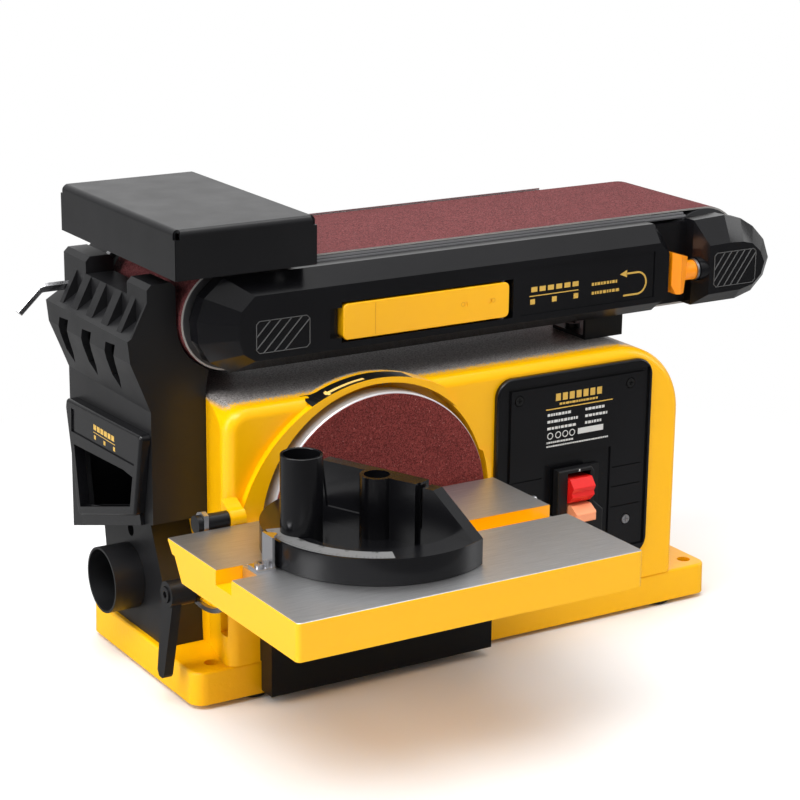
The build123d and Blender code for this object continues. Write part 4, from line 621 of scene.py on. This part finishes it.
def ridges(name, box, count, lean, level, body):
    """Slanting raised lines inside a rectangle of a front face, with its border; their grey is a painted
    highlight.
    """
    lines = []
    u, v = box
    for step in range(count):
        start = u[0] + (u[1] - u[0] - lean * 0.4) * step / (count - 1) - lean * 0.5
        low = max(v[0], v[0] + (u[0] - start) * (v[1] - v[0]) / lean)
        high = min(v[1], v[0] + (u[1] - start) * (v[1] - v[0]) / lean)
        if high - low > 4:
            ends = [(start + lean * (edge - v[0]) / (v[1] - v[0]), edge) for edge in (low, high)]
            lines += stroke(ends, 0.55)
    border = [(u[0] + 2, v[0]), (u[1] - 2, v[0]), (u[1], v[0] + 2), (u[1], v[1] - 2), (u[1] - 2, v[1]),
              (u[0] + 2, v[1]), (u[0], v[1] - 2), (u[0], v[0] + 2), (u[0] + 2, v[0])]
    relief(name, lines + stroke(border, 0.35), facing("front", level), "ridge", body, 0.45)


def panel_graphics():
    """Nameplate and switch marks of the control panel."""
    face = facing("front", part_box("control_panel")[0][1] / MM)
    relief("panel_title", blocks(57.0, 5.4, 7, 3.8, (156.2, 161.0)), face, "gold", "housing")
    relief("panel_subtitle", dashes(60.0, 90.0, 153.9, 1.4, rng), face, "gold", "housing", PRINT)
    relief("panel_rule", [bar((49.6, 102.0), (150.8, 151.5))], face, "gold", "housing")
    rows = []
    for level in PANEL_ROWS:
        for start, nearest, farthest in PANEL_COLUMNS:
            rows += dashes(start, rng.uniform(nearest, farthest), level, 1.7, rng)
    rows += dashes(50.8, 71.5, 129.0, 1.2, rng, 1.5) + dashes(50.8, 100.0, 126.4, 1.0, rng, 1.5)
    relief("panel_print", rows, face, "white", "housing", PRINT)
    marks = []
    for centre in PANEL_RINGS:
        marks += ring((centre, 133.4), 2.0, 0.6)
    marks.append(bar((75.1, 95.2), (131.6, 135.4)))
    relief("panel_marks", marks, face, "white", "housing", 0.1)
    bezel = facing("front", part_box("switch_housing")[0][1] / MM)
    relief("switch_mark", [bar((71.9, 72.9), (108.7, 110.3))], bezel, "white", "housing", 0.1)


def ring_label():
    """Black strip on the raised ring's outer surface, with an arrow for the disc's direction."""
    def wrap(angle, y, up):
        outward = Vector((cos(radians(angle)), 0, sin(radians(angle))))
        start = Vector((RING_X, y, RING_Z)) + outward * (RING_R + CLEAR)
        surface = NODES["body_housing"].ray_cast(start * MM, -outward)[1]
        return surface / MM + outward * up

    def on_strip(angle, y, up):
        return wrap(angle, y, up + STRIP)

    relief("ring_label", blocks(76, 2, 21, 2, (-77.7, -65.0)), wrap, "label", "housing", STRIP)
    tip = [(109.5, -77.4), (117.3, -73.7), (109.5, -70.0)]
    relief("ring_arrow", blocks(95, 2, 8, 2, (-75.1, -72.3)) + [tip], on_strip, "arrow", "housing", PRINT)


def grip_graphics():
    """Generic print on the hood grip's plate."""
    face = facing("left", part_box("hood_grip")[0][0] / MM + 1.0)
    title = blocks(33.0, -5.2, 6, 4.0, (147.6, 151.0))
    small = blocks(33.9, -14.0, 3, 2.6, (141.6, 144.2))
    relief("grip_print", title + small + [bar((5.8, 37.4), (145.7, 146.1))], face, "gold", "housing", 0.1)


def polar(radius, angle):
    """A point at a distance and an angle (degrees) from the mitre head's pivot, in millimetres."""
    return (MITRE_AT[0] + radius * cos(radians(angle)), MITRE_AT[1] + radius * sin(radians(angle)))


def mitre_scale():
    """The angle scale on the mitre head's rim: a grey band with ticks and numbers."""
    face = facing("top", RIM_TOP)
    first, last = SCALE_ARC
    inner_r, outer_r = SCALE_R
    band = []
    for step in range(SCALE_STEPS):
        a0 = first + (last - first) * step / SCALE_STEPS
        a1 = first + (last - first) * (step + 1) / SCALE_STEPS
        band.append([polar(inner_r, a0), polar(inner_r, a1), polar(outer_r, a1), polar(outer_r, a0)])
    relief("scale_band", band, face, "scale", "gauge_head", 0.1)
    ticks = []
    for step in range(0, 77, 2):
        angle = first + 3 + step
        reach = 4.0 if step % 10 == 0 else 2.2
        ticks += stroke([polar(outer_r - reach, angle), polar(outer_r - 0.4, angle)], 0.3)
    relief("scale_ticks", ticks, facing("top", RIM_TOP + 0.1), "label", "gauge_head", 0.06)
    # numbers from 45 down to 0 and up to 15, every 15 degrees of the scale
    for index in range(5):
        text = bpy.data.curves.new(f"scale_number_{index}", "FONT")
        text.body = str(abs(45 - 15 * index))
        text.size = NUMBER_SIZE * MM
        text.extrude = 0.05 * MM
        text.align_x = "CENTER"
        text.materials.append(INK["label"])
        made = bpy.data.objects.new(f"scale_number_{index}", text)
        bpy.context.collection.objects.link(made)
        angle = first + 8 + 16 * index
        u, v = polar(NUMBER_R, angle)
        made.location = (u * MM, v * MM, (RIM_TOP + 0.16) * MM)
        made.rotation_euler = (0, 0, radians(angle + 90))
        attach(made, "gauge_head")


def lever_marks():
    """The lever's parting line and the marks of two moulding pins."""
    low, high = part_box("tension_lever")
    face = facing("front", low[1] / MM)
    middle = (low[2] + high[2]) / 2 / MM + 1.0
    dots = ring((-6.0, middle), 1.3, 0.35) + ring((16.4, middle), 1.3, 0.35)
    parting = bar((-69.4, -69.0), (low[2] / MM + 1.5, high[2] / MM - 1.5))
    relief("lever_marks", dots + [parting], face, "seam", "tension_handle", 0.06)


def edge_strips():
    """Two slim grey guides that run along the belt's front edge."""
    def along(u, v, up):
        return Vector((GUIDE_START + up, u, v))

    for name, y, z in GUIDES:
        profile = [(y + across, z + rise) for across, rise in GUIDE_PROFILE]
        relief(name, [profile], along, "guide", "arm", GUIDE_LENGTH)


cover_graphics()
panel_graphics()
ring_label()
grip_graphics()
mitre_scale()
edge_strips()
lever_marks()
ridges("cover_ridges", ((-150.5, -114.5), (211.5, 231.0)), 5, 19.0, COVER_FRONT, "arm")
ridges("nose_ridges", ((193.0, 228.0), (211.5, 234.5)), 6, 17.0, COVER_FRONT + 0.5, "arm")

add_camera()
add_stage()
